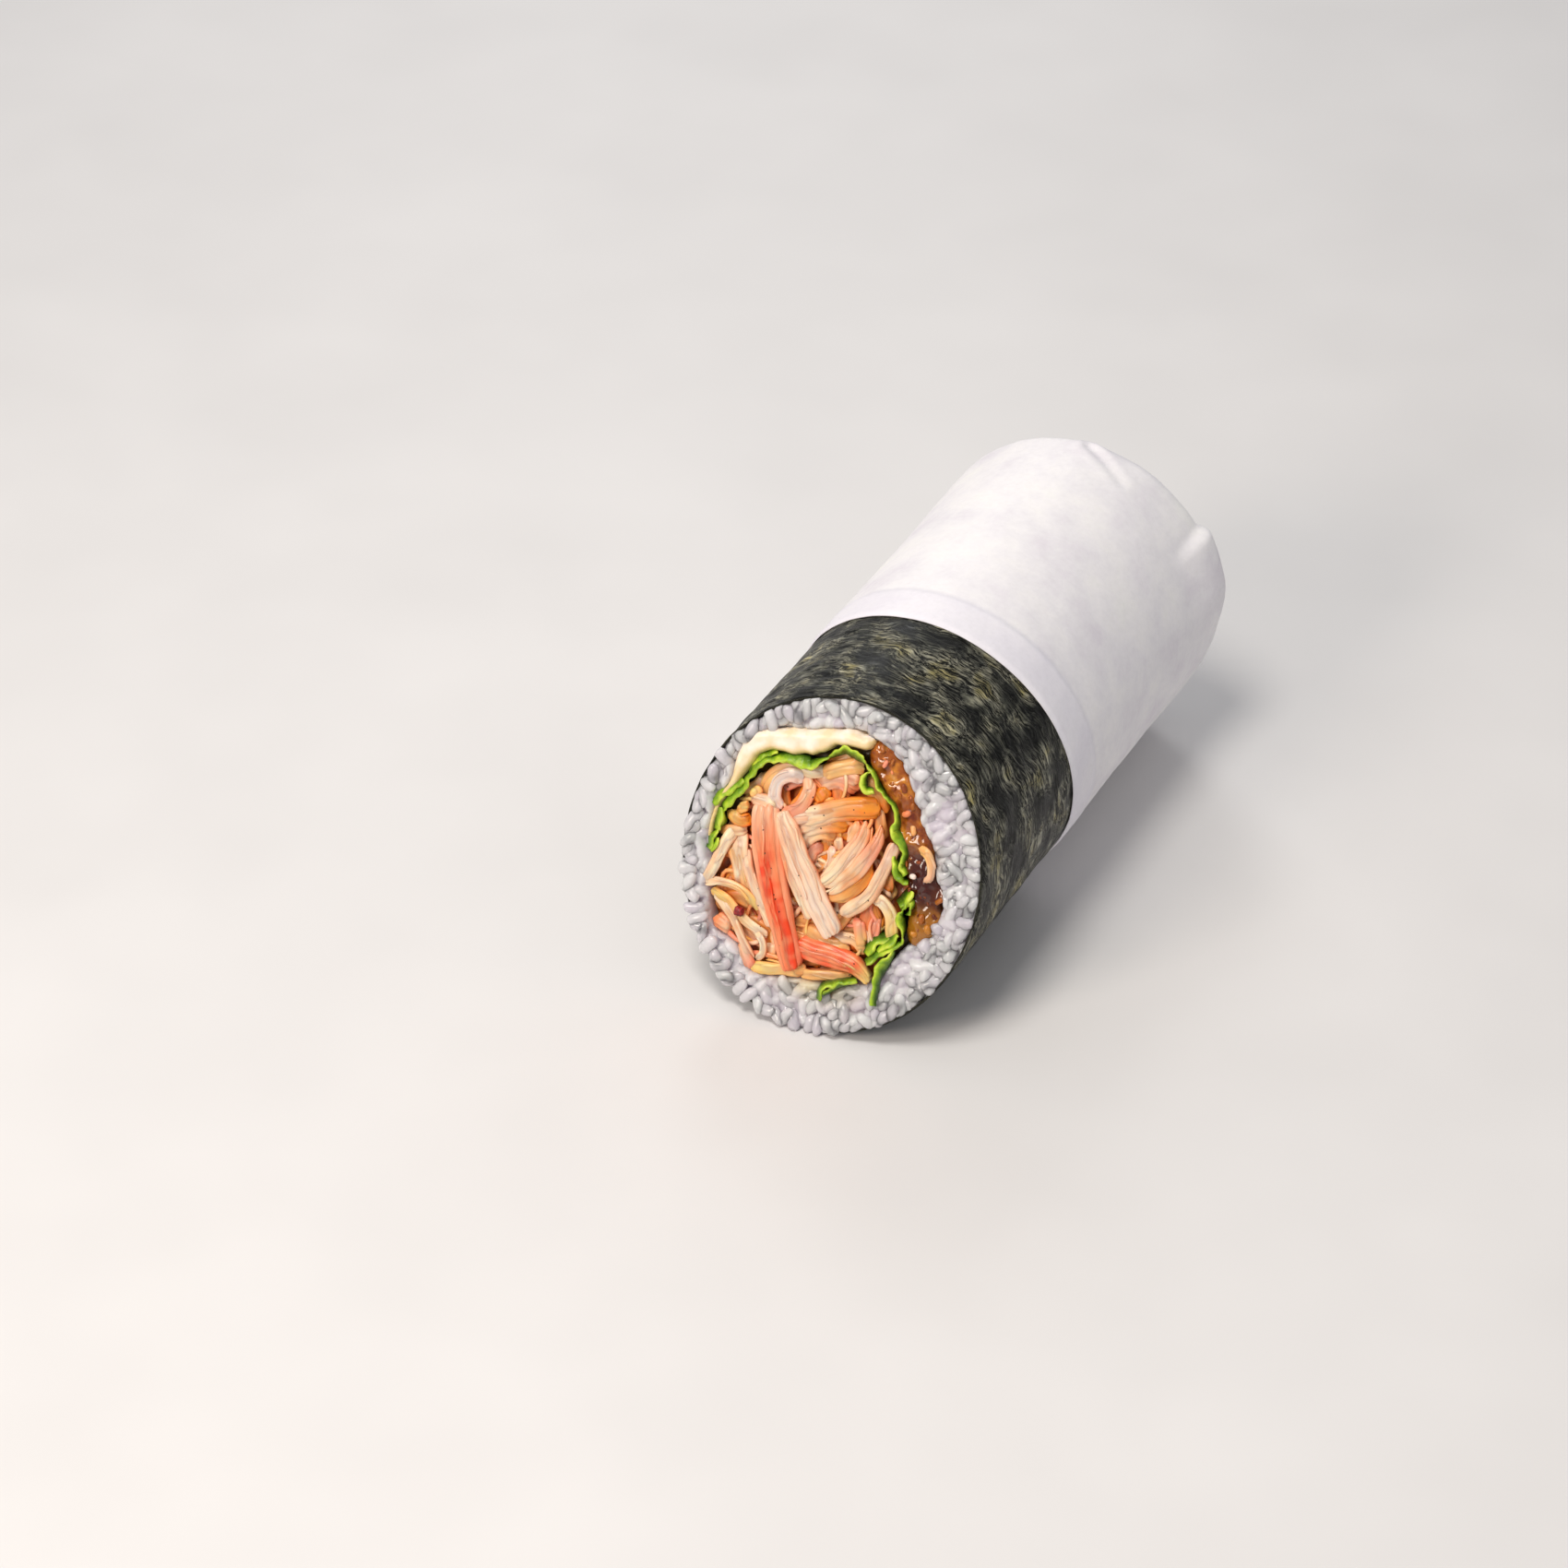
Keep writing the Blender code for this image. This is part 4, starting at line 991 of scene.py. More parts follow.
crab = {
    # tint at each end, width, how far before the cut, and the points it passes
    # every strand that starts or ends in dark tan lies deep: painted shade for its sunken place
    "strands": [
        ("tan", "tan", 2.6, -0.8, [(-7, 17.3), (-1, 20.3), (4, 22)]),
        ("darkTan", "tan", 1.8, -1.8, [(-5, 20.2), (-1, 22.3), (2, 23)]),
        ("pink", "rose", 2.5, -1.0, [(-6.5, 15.6), (-2, 17.4), (3.4, 16.8)]),
        ("rose", "pink", 1.8, -0.9, [(-1.5, 19), (3.2, 18.2)]),
        ("lilac", "lilac", 2.1, 0.2, [(-13.8, 8.4), (-15.8, 10.6), (-15.9, 13.6), (-13.8, 15.8),
                                      (-11, 16.2), (-9.2, 15.2)]),
        ("pink", "rose", 2.0, 0.3, [(-8.7, 17), (-8.3, 13.4), (-9.2, 10.2), (-11.6, 8.2), (-14, 7.8)]),
        ("tan", "cream", 2.0, -0.7, [(-17.9, 9.5), (-18, 13), (-16, 16), (-12, 17.6), (-8, 17.6),
                                     (-3, 19.5)]),
        ("orange", "orange", 3.6, -0.5, [(-6.6, 14.6), (-3.6, 12.4)]),
        ("cream", "orange", 4.0, 0.5, [(-10, 6.4), (-4, 9.6), (2, 12.4), (9.3, 14.4)]),
        ("cream", "orange", 2.8, 0.0, [(-9.6, 4.6), (-4, 7.4), (2.6, 9.2)]),
        ("pink", "pink", 2.0, 0.3, [(-12.2, 6.6), (-7, 8.6), (-3.4, 11)]),
        ("cream", "tan", 1.9, -0.6, [(-7, 1.5), (-6, 4.5), (-3, 6.3), (0.5, 6)]),
        ("pink", "rose", 1.7, -1.0, [(-5.5, -1), (-4.8, 2), (-2, 3.8)]),
        ("rose", "pink", 2.2, -1.8, [(-4.6, -1.4), (-2.6, 0.8)]),
        ("lilac", "cream", 1.6, -1.2, [(-1, 4), (0, 1), (-1, -2)]),
        ("cream", "pink", 1.5, -0.9, [(0.2, 6.2), (1.6, 3.2)]),
        ("pink", "cream", 2.4, 0.5, [(13.8, 8.5), (12.5, 4), (11, -1), (9, -5), (4, -10)]),
        ("cream", "yellow", 1.9, -0.1, [(10.2, -4.3), (13, -4.6), (15.5, -6.5), (16.5, -10),
                                        (17.5, -12.5)]),
        ("rose", "tan", 2.0, -0.7, [(8, -9), (9.5, -12.5), (10.3, -15.5)]),
        ("rose", "rose", 1.8, -1.6, [(11.8, -7.4), (12.6, -11), (11.6, -14)]),
        ("tan", "darkTan", 1.6, -1.2, [(12.5, 2.5), (14, -1), (13.4, -3)]),
        ("yellow", "tan", 2.2, 0.2, [(-21.6, 11.4), (-19, 9.6)]),
        ("pink", "cream", 2.4, 0.4, [(-21.5, 9.0), (-17, 9.3), (-14.6, 8.6)]),
        ("tan", "tan", 2.4, -0.7, [(-4, -14.4), (2, -16.4), (8, -15.8)]),
        ("cream", "tan", 2.0, -1.0, [(3, -14.6), (8, -13.8), (11.6, -16)]),
        ("yellow", "tan", 2.2, -0.2, [(-14, -25.6), (-6, -24), (-1, -23.2)]),
        ("tan", "tan", 1.5, -0.5, [(-3, -24), (3, -23), (10, -21.5)]),
        ("cream", "cream", 1.9, 0.3, [(-28.2, -11), (-26.6, -6), (-25, -1), (-23, 2)]),
        ("cream", "yellow", 1.3, 0.5, [(-28.2, -10.4), (-24, -9.7), (-19, -10.5), (-14, -13.5)]),
        ("yellow", "cream", 1.4, -0.1, [(-26.4, -11.8), (-22, -13.5), (-17, -16.5), (-11, -18.5)]),
        ("cream", "pink", 1.3, 0.2, [(-25.4, -12.5), (-20.5, -16.5), (-17.5, -20), (-14, -24.5)]),
        ("cream", "cream", 1.2, 0.1, [(-15, -17.5), (-12.5, -19.5), (-12, -22), (-13.5, -24)]),
        ("tan", "cream", 2.0, -0.6, [(-24.5, 0), (-22, -4), (-19.5, -9.5)]),
        ("cream", "tan", 2.2, -0.4, [(-22.5, 2), (-21, -3), (-18, -9), (-14, -13)]),
        ("pink", "cream", 2.0, 0.0, [(-20.5, -1), (-18.5, -6), (-15, -11), (-11, -16)]),
        ("yellow", "orange", 2.0, -0.2, [(-25.8, 5.6), (-22.5, 3.8), (-19.6, 5.5)]),
        ("yellow", "yellow", 1.6, -0.1, [(-24, 6.2), (-21, 7.7)]),
        ("tan", "cream", 1.8, -0.5, [(-27, 0.5), (-23.5, 1.5), (-20.5, 2.5)]),
        ("salmon", "pink", 3.0, -0.7, [(-25.4, -17.6), (-19.6, -18.8)]),
        ("pink", "rose", 1.9, -0.5, [(-18, -20.5), (-15.5, -24), (-13.4, -26)]),
        ("darkTan", "tan", 2.0, -1.4, [(-26.8, -3), (-22.4, -3.4), (-20, -6)]),
        ("tan", "cream", 2.0, -1.2, [(-23, -7), (-17, -8.6), (-13, -11)]),
        ("orange", "tan", 1.9, -1.3, [(-24, -13.8), (-20, -12), (-15.4, -12.6)]),
        ("tan", "pink", 1.9, -1.5, [(-22, -17), (-16, -19), (-10, -20.4)]),
        ("cream", "tan", 1.6, -1.4, [(-10.5, -19), (-9.8, -23.4)]),
        ("tan", "orange", 2.3, -1.2, [(3.2, 20.4), (7, 17), (10.4, 13.6)]),
        ("pink", "tan", 2.0, -1.5, [(5.6, 17), (8.8, 12.6), (10.6, 8)]),
        ("tan", "darkTan", 1.8, -1.6, [(12, 6), (12.5, 1), (15, -3)]),
        ("darkTan", "tan", 2.0, -1.9, [(-12, 20), (-7, 18.4), (-3, 20.6)]),
        ("tan", "pink", 1.8, -1.3, [(-22.6, 9.4), (-20, 12.4), (-18.4, 15.4)]),
    ],
    "deep": 90,
    # painted shade: the deep strands draw on darker, warmer tints than those on top
    "deepShadeTints": ["tan", "darkTan", "salmon", "rose", "tan", "orange"],
    "fine": 85,
    "hollow": (-11.3, 12.3, 2.4),  # x, z and size of the gap that no loose strand crosses
    "fineTints": ["cream", "pink", "tan", "yellow", "rose", "cream"],
    "core": -4.6,  # how far out the bundle that lies under all of them reaches
    "coreStep": 1.0,
    # x, z, size, strength
    "stains": [
        (3.5, 12.4, 5.0, 1.0), (-5.2, 13.2, 3.0, 1.0), (5.5, -2.4, 3.4, 0.7), (-23, 4.6, 2.8, 0.6),
        (-22, -11, 3.4, 0.5), (8, 9, 3, 0.5), (-7.5, -20, 3, 0.5), (-20, -17, 3, 0.4), (0, 4, 3, 0.4),
    ],
    "sides": 10,
    "ringEvery": 0.5,
    "seed": 8,
    # x, z, width, how far before the cut
    "paleStick": [
        (-13.6, 8.2, 2.4, 1.0), (-11.6, 4.6, 4.6, 1.6), (-8.6, 0.2, 4.9, 1.7), (-5.2, -4.2, 5.0, 1.8),
        (-1.4, -8.9, 4.9, 1.7),
        (1.8, -12.4, 4.9, 1.6), (3.4, -14.3, 4.4, 1.4),
    ],
    "paleEdge": [(-13.4, 5.0, 1.6, 1.0), (-9.6, -2.4, 2.2, 1.1), (-6.4, -7.2, 2.0, 1.0),
                 (-2.6, -12.2, 1.7, 0.8)],
    "redStick": [
        (-17.6, 9.0, 5.2, 0.6), (-17.2, 5.4, 6.2, 1.1), (-15.7, -0.4, 6.4, 1.3),
        (-13.2, -6.2, 6.0, 1.3), (-10.8, -11.4, 5.5, 1.2),
        (-8.4, -16.2, 5.2, 1.1), (-6.2, -20.4, 4.9, 1.0), (-4.6, -23.8, 4.2, 0.7),
    ],
    "orangeStick": [
        (-4.6, -18.2, 4.4, -0.1), (-0.5, -18.6, 4.5, 0.3), (4.4, -18.7, 4.3, 0.4),
        (8.6, -19.0, 3.8, 0.4), (11.4, -20.2, 2.8, 0.3),
        (13.6, -21.6, 1.7, 0.1),
    ],
    "flake": [  # the same, after the tint at each end
        ("pink", "cream", [(6.4, 11.0, 2.6, -0.1), (5.4, 6.6, 3.6, 0.5), (3.2, 2.2, 4.2, 0.8),
                           (0.4, -2.2, 4.0, 0.8), (-2.6, -5.0, 2.6, 0.5)]),
        ("rose", "cream", [(10.0, 11.6, 1.4, 0.6), (9.2, 7.2, 2.5, 1.2), (7.2, 2.8, 3.2, 1.2),
                           (4.2, -1.6, 3.2, 1.1), (0.4, -5.6, 2.6, 0.7)]),
        ("orange", "tan", [(9.3, 3.0, 2.0, 0.2), (7.6, -1.4, 2.6, 0.3), (4.2, -5.2, 2.6, 0.2),
                           (0.6, -7.4, 1.8, 0.0)]),
        ("pink", "cream", [(4.0, 11.4, 1.6, -0.3), (3.6, 8.2, 2.0, 0.0), (2.4, 5.2, 1.8, 0.1)]),
    ],
}


def makeCrabMaterial(name, gloss):
    # surimi: minced white fish, set and pulled into strands, so moist and opaque with fine
    # lengthwise fibres
    material, tree = newMaterial(name, Roughness=gloss, IOR=1.42, Subsurface_Weight=0.4,
                                 Subsurface_Radius=(1.0, 0.6, 0.4), Subsurface_Scale=1.0 * mm,
                                 Coat_Weight=0.25, Coat_Roughness=0.15)
    tint = addNode(tree, "Attribute", attribute_name="tint").outputs["Vector"]
    place = addNode(tree, "Attribute", attribute_name="strand").outputs["Vector"]
    laid = addNode(tree, "Mapping", {"Vector": place, "Scale": (1, 0.1, 1)})
    fibre = addNode(tree, "TexNoise",
                    {"Vector": laid, "Scale": perMetre(0.8), "Detail": 3.0, "Roughness": 0.6})
    shade = addNode(tree, "ValToRGB", {"Fac": fibre},
                    stops=[(0.3, "#eaa67c"), (0.48, "#fce6d6"), (0.6, "#ffffff")])
    colour = addNode(tree, "Mix", {"Factor": 0.55, "A": tint, "B": shade}, data_type="RGBA",
                     blend_type="MULTIPLY")
    return finishMaterial(material, {"Base Color": colour}, fibre, 0.5, 0.15)


def strandShape(line, seed, tint, sides, thick, across, cut, sink):
    # one uneven strand along evenly spaced points of x, z, width and how far its top stands out;
    # across is its place in a bundle, from -1 to 1, and cut how round its ends are
    rings = len(line) - 1
    length = lineLength([spot.to_2d() for spot in line])
    points, colours, places = [], [], []
    for ring, (x, z, width, stand) in enumerate(line):
        left = leftOf(line, ring)
        sideways = Vector((left.x, slant(left.x, left.y), left.y)) * mm
        share, run = ring / rings, ring / rings * length
        fromEnd = min(run, length - run) / (width * cut)
        size = math.sqrt(max(0.0, 1 - (1 - min(1, fromEnd)) ** 2)) * 0.94 + 0.06
        half = width * (1 + 0.16 * ripple(run, seed, 1, 4.5)) * size / 2
        deep = thick * (1 + 0.12 * ripple(run, seed, 5, 3.5)) * size
        centre = inView(x, z, stand - sink * (1 - smoothStep(0, 0.22, min(share, 1 - share))))
        lean = 0.4 * ripple(run, seed, 13, 6)
        for side in range(sides):
            c, s = math.cos(math.tau * side / sides), math.sin(math.tau * side / sides)
            c, s = math.copysign(abs(c) ** 0.6, c), math.copysign(abs(s) ** 0.7, s)
            c, s = c * math.cos(lean) - s * math.sin(lean), c * math.sin(lean) + s * math.cos(lean)
            # fibres: ridges that run with the strand and slowly wander over it
            ridge = ripple(c * width * 1.3, s * width * 1.3, run * 0.12 + seed * 3.1, 0.9)
            swell = 1 + 0.14 * ridge / max(0.8, width * 0.5)
            rise = (s * swell - 1) * deep / 2 * mm
            points.append(centre + sideways * (c * half * swell) + cutNormal * rise)
            colours.append(tint((x, z), share, across + c * 0.2, s, run, ridge))
            places.append((c * half * mm + seed, run * mm, s * deep / 2 * mm))
    faces = [tuple(range(sides - 1, -1, -1)), tuple(rings * sides + side for side in range(sides))]
    return points, faces + ringFaces(rings + 1, sides), {"tint": colours, "strand": places}


def bundle(knots, seed, tint, draw, fibre=1.25, thickness=0.62, fray=1.5, sink=0.0, cut=0.6):
    # a strand is a bundle of finer ones that lie side by side and end unevenly
    rough = smoothLine(knots, 10)
    every = crab["ringEvery"]
    line = evenLine(rough, max(10, int(lineLength([spot.to_2d() for spot in rough]) / every)) + 1)
    widest = max(knot[2] for knot in knots)
    count = max(2, round(widest / fibre))
    shapes = []
    for index in range(count):
        across = (index + 0.5) / count * 2 - 1
        own = draw.uniform(0, 50)
        lift = draw.uniform(-0.12, 0.12) - 0.07 * widest * across * across
        girth = draw.uniform(1.8, 2.7)
        trim = [int(draw.uniform(0, fray) * (0.5 + 0.5 * abs(across)) / every) for _ in range(2)]
        trim = [min(rings, len(line) // 4) for rings in trim]
        fine = []
        for place, (x, z, width, stand) in enumerate(line):
            run = place * every
            shift = across * width / 2 * (1 - 0.9 / count)
            shift += 0.25 * ripple(run, own, 2, 6) + 0.2 * ripple(run, seed, 9, 3.2)
            spot = Vector((x, z)) + leftOf(line, place) * shift
            stand += lift + 0.15 * ripple(run, own, 7, 4)
            fine.append(Vector((*spot, width / count * girth, stand)))
        fine = fine[trim[0]:len(fine) - trim[1]]
        deep = widest * thickness * (1 - 0.25 * across * across)
        shapes.append(strandShape(fine, own, tint, crab["sides"], deep, across, cut, sink))
    for _ in range(max(1, count // 2)):  # fibres that have come loose
        own, across = draw.uniform(0, 50), draw.uniform(-1, 1)
        start = int(len(line) * draw.uniform(0, 0.35))
        stop = int(len(line) * draw.uniform(0.65, 1))
        thin = draw.uniform(0.45, 0.8)
        fine = []
        for place in range(start, stop):
            x, z, width, stand = line[place]
            run = place * every
            spot = Vector((x, z)) + leftOf(line, place) * (across * width / 2 + 1.3 * ripple(run, own, 2, 8))
            stand += 0.12 + 0.3 * ripple(run, own, 7, 6) - 0.06 * widest * across * across
            fine.append(Vector((*spot, thin, stand)))
        if len(fine) > 8:
            shapes.append(strandShape(fine, own, tint, 6, thin, across, 2.0, sink))
    return shapes


def stainAt(x, z):
    # where the orange dressing has soaked in
    return sum(amount * bell((x - px) / size) * bell((z - pz) / size)
               for px, pz, size, amount in crab["stains"])


def lit(colour, light):
    return tuple(min(1, max(0, channel * light)) for channel in colour)


def plainTint(first, last, seed):
    def tint(spot, share, c, s, run, ridge):
        # painted shade: its sides, low on each strand, are mixed toward dark tan, darker than its top,
        # standing in for the warm shade between strands
        base = blend(colourOf(first), colourOf(last), smoothStep(0.1, 0.9, share))
        base = blend(base, colourOf("darkTan"), 0.5 * smoothStep(0.7, -0.1, s))
        stain = min(1.0, stainAt(*spot)) * (0.7 + 0.8 * ripple(run, c * 2, seed, 1.7))
        light = 1 + 0.16 * ripple(run, seed, c * 3, 2.5) + 0.12 * ridge
        return lit(blend(base, colourOf("orange"), max(0, min(1, stain))), light)
    return tint


def redTint(spot, share, c, s, run, ridge):
    # salmon, with the red of the skin along its middle where it faces out
    streak = c - 0.1 + 0.5 * ripple(run, 1, 2, 7) + 0.3 * math.sin(share * 5)
    red = bell(streak / (0.45 + 0.35 * share)) * smoothStep(0.16, 0.36, share)
    red *= 1.0 + 1.1 * ripple(run, c * 3, 4, 1.5)
    base = blend(colourOf("salmon"), colourOf("red"), min(1, max(0.15, red)))
    pale = smoothStep(0.3, 0.0, share) * 0.6 + 0.4 * smoothStep(0.6, 1, abs(c)) * (1 - share * 0.6)
    return lit(blend(base, colourOf("pink"), min(1, pale)), 1 + 0.10 * ridge)


def orangeTint(spot, share, c, s, run, ridge):
    # salmon with red patches, and a yellow tip
    red = min(1, max(0, 0.5 + 1.1 * ripple(run, c * 3, 6, 2.0))) * 0.8
    base = blend(colourOf("salmon"), colourOf("red"), red)
    return lit(blend(base, colourOf("yellow"), smoothStep(0.7, 0.98, share)), 1 + 0.10 * ridge)


def strandBundles(strands, draw, fibre=1.15):
    shapes = []
    for first, last, width, stand, path in strands:
        seed = draw.uniform(0, 40)
        knots = [(x, z, width, stand) for x, z in path]
        shapes += bundle(knots, seed, plainTint(first, last, seed), draw, fibre, sink=1.0, cut=0.55)
    return shapes


def clearOfHollow(knots):
    x, z, size = crab["hollow"]
    return all(math.hypot(spot[0] - x, spot[1] - z) >= size for spot in smoothLine(knots, 4))


def deepStrands(draw):
    # what lies under the chosen strands
    deep, loop = [], loops["crab"]
    while len(deep) < crab["deep"]:
        x, z, turn = draw.uniform(-28, 18), draw.uniform(-26, 23), draw.uniform(0, math.pi)
        length, bend = draw.uniform(5, 9), draw.uniform(-2.5, 2.5)
        c, s = math.cos(turn), math.sin(turn)
        path = [(x - c * length, z - s * length), (x - s * bend, z + c * bend),
                (x + c * length, z + s * length)]
        within = all(insideLoop(a, b, loop) and edgeDistance(a, b, loop) > 0.8 for a, b in path)
        if within and clearOfHollow(path):
            deep.append((draw.choice(crab["deepShadeTints"]), draw.choice(crab["deepShadeTints"]),
                         draw.uniform(1.6, 2.5), draw.uniform(-3.6, -1.5), path))
    return deep


def looseFibres(draw):
    # single fibres that lie over the deep strands
    fibres = []
    while len(fibres) < crab["fine"]:
        x, z, turn = draw.uniform(-26, 16), draw.uniform(-25, 22), draw.uniform(0, math.pi)
        run, bend, width = draw.uniform(3, 6), draw.uniform(-3, 3), draw.uniform(0.6, 1.1)
        stand, own = draw.uniform(-2.2, -0.6), draw.uniform(0, 50)
        c, s = math.cos(turn), math.sin(turn)
        knots = []
        for share in (-1, -0.3, 0.4, 1):
            side = bend * (1 - share * share) + draw.uniform(-0.5, 0.5)
            knots.append((x + c * run * share - s * side, z + s * run * share + c * side, width,
                          stand + draw.uniform(-0.3, 0.3)))
        if all(insideLoop(knot[0], knot[1], loops["crab"]) for knot in knots) and clearOfHollow(knots):
            tint = plainTint(draw.choice(crab["fineTints"]), draw.choice(crab["fineTints"]), own)
            line = evenLine(smoothLine(knots, 8), int(run * 3.4))
            fibres.append(strandShape(line, own, tint, 7, width, 0, 1.5, 1.2))
    return fibres


def coreStand(x, z, gap):
    return crab["core"] + 0.9 * ripple(x, z, 3, 2.2) + 0.5 * ripple(x * 0.4, z, 8, 1.2)


# painted shade: the backfill under the strands is dark rust-tan inside the crab and dark olive outside it,
# standing in for the shade deep in the gaps
def coreShadeTint(x, z):
    if insideLoop(x, z, loops["crab"]):
        return blend(colourOf("darkTan"), colourOf("rust"), 0.45)
    return blend(colourOf("rust"), colourOf("leafShade"), 0.7)


def coreStrand(x, z):
    return x * mm, z * mm, 0


def makeCrab(material, redMaterial):
    draw = random.Random(crab["seed"])
    deep = deepStrands(draw)
    fibres = looseFibres(draw)
    strands = strandBundles(crab["strands"], draw) + strandBundles(deep, draw, 1.6) + fibres
    addPiece("crabStrands", joinShapes(strands), material, "crab", "crab_shreds")
    core = plugShape(loops["fillings"], coreStand, crab["coreStep"], tint=coreShadeTint, strand=coreStrand)
    addPiece("crabCore", core, material, "crab", "crab_shreds")
    pale = bundle(crab["paleStick"], 3.3, plainTint("pink", "shell", 3.3), draw, 1.3, 0.45, 0.9, cut=0.5)
    pale += bundle(crab["paleEdge"], 7.1, plainTint("salmon", "cream", 7.1), draw, 1.1, 0.7, 1.6)
    addPiece("crabStickPale", joinShapes(pale), material, "crab", "crab_stick_pale")
    red = bundle(crab["redStick"], 1.7, redTint, draw, 1.3, 0.42, 0.9, cut=0.5)
    addPiece("crabStickRed", joinShapes(red), redMaterial, "crab_red", "crab_stick_red")
    orange = bundle(crab["orangeStick"], 4.9, orangeTint, draw, 1.2, 0.6, 1.0)
    addPiece("crabStickOrange", joinShapes(orange), redMaterial, "crab_red", "crab_stick_orange")
    flake = []
    for index, (first, last, knots) in enumerate(crab["flake"]):
        tint = plainTint(first, last, index + 1.5)
        flake += bundle(knots, 11.3 + index * 2, tint, draw, 1.05, 0.5, 2.6, 0.4, 1.6)
    addPiece("crabFlake", joinShapes(flake), material, "crab", "crab_flake")


# lettuce: frilled leaves cut through, their bright edges turned over at the cut

lettuce = {
    # x, z of the bright edge, how far the leaf leans to its left going back, how far the edge stands out
    "leaf": [
        [(-28.4, -3.6, 1.6, 0.1), (-27.4, -0.6, 1.8, 0.2), (-27.0, 3.2, -1.6, 0.3), (-25.8, 6.2, 2.4, 0.4),
         (-22.8, 10.0, 2.6, 0.6), (-21.4, 13.2, 1.6, 0.8), (-20.0, 16.2, 1.8, 0.8), (-17.0, 18.0, 1.6, 0.7),
         (-13.6, 18.7, 2.6, 0.8), (-10.8, 18.3, 3.0, 1.0), (-8.0, 18.4, 2.6, 1.1), (-6.2, 20.2, 1.4, 0.9),
         (-4.6, 22.8, -1.0, 0.7), (-1.2, 24.6, -1.3, 0.6), (2.2, 23.8, -1.4, 0.6), (4.6, 21.4, 1.0, 0.8),
         (6.4, 19.0, 1.4, 0.9), (8.8, 16.6, 1.2, 0.8), (11.6, 15.2, 1.2, 0.7), (12.6, 12.4, 1.6, 0.9),
         (12.0, 10.0, 2.6, 0.9), (14.6, 8.0, 2.4, 0.8), (15.6, 6.2, 1.8, 0.5), (15.0, 4.2, 2.2, 0.7),
         (17.0, 2.0, 2.0, 0.5)],
        [(5.0, 21.6, -0.6, 0.5), (3.4, 19.6, 1.6, 1.0), (3.2, 17.6, 2.2, 1.2), (4.8, 16.6, 2.0, 1.1),
         (6.6, 17.4, 1.0, 0.7)],
        [(13.2, 5.2, 1.2, 0.7), (14.2, 3.0, 2.2, 0.9), (16.0, 0.8, 2.2, 0.8), (18.2, 0.6, 1.0, 0.4)],
        [(-28.8, 5.4, 2.8, -0.2), (-25.6, 8.8, 3.2, 0.0), (-22.8, 12.0, 2.4, -0.2)],
        [(-26.4, 0.8, 2.0, 0.5), (-26.2, 3.4, 2.6, 0.8), (-26.8, 5.8, 1.6, 0.4)],
        [(-27.2, -4.2, 1.4, 0.2), (-26.6, -2.4, 1.9, 0.5), (-27.0, -0.8, 1.2, 0.2)],
        [(-21.6, 14.2, 1.8, -0.4), (-19.8, 18.4, 1.6, -0.2), (-16.6, 19.8, 1.4, -0.3)],
    ],
    "fold": [
        [(19.6, -0.6, -1.2, 0.2), (18.8, -3.4, -1.6, 0.5), (17.4, -6.4, 1.8, 0.8), (18.4, -9.0, 1.4, 0.7),
         (19.8, -12.0, -1.4, 0.8), (17.4, -14.0, -1.8, 0.9), (14.4, -16.4, -1.8, 0.9),
         (12.4, -18.0, -1.0, 0.6)],
        [(17.4, -13.4, 1.2, 0.6), (15.4, -16.6, 2.4, 1.4), (14.4, -20.0, 2.0, 2.0),
         (14.6, -23.4, 1.9, 2.0), (15.0, -26.2, 1.6, 1.6)],
        [(18.6, -10.6, -1.6, 0.4), (17.0, -13.0, -2.4, 0.5), (15.0, -15.4, -2.0, 0.6)],
        [(17.6, -4.6, 1.6, 0.3), (19.6, -3.0, 1.8, 0.9), (20.0, -5.6, -1.2, 0.7)],
        [(16.8, -12.0, -2.2, -0.4), (14.0, -13.6, -2.4, -0.2), (12.8, -16.4, -2.0, 0.0)],
    ],
    "shred": [
        [(3.4, -28.2, 1.3, 1.6), (4.2, -25.8, 1.6, 2.0), (6.4, -24.4, 1.6, 2.0), (11.0, -22.4, 1.2, 1.6)],
        [(3.6, -26.6, -0.9, 1.4), (5.8, -24.0, -1.2, 1.7), (9.4, -22.2, -0.8, 1.4)],
    ],
    "thickness": 0.42,
    "ruffle": 0.8,
    "every": 0.32,
    "depths": [0, 0.12, 0.26, 0.42, 0.6, 0.8, 1.0],  # shares of the way down the lean
    "leanDepth": 4.5,
    "behind": 14,  # behind the cut, from where the leaf runs straight back
    "seed": 4,
}


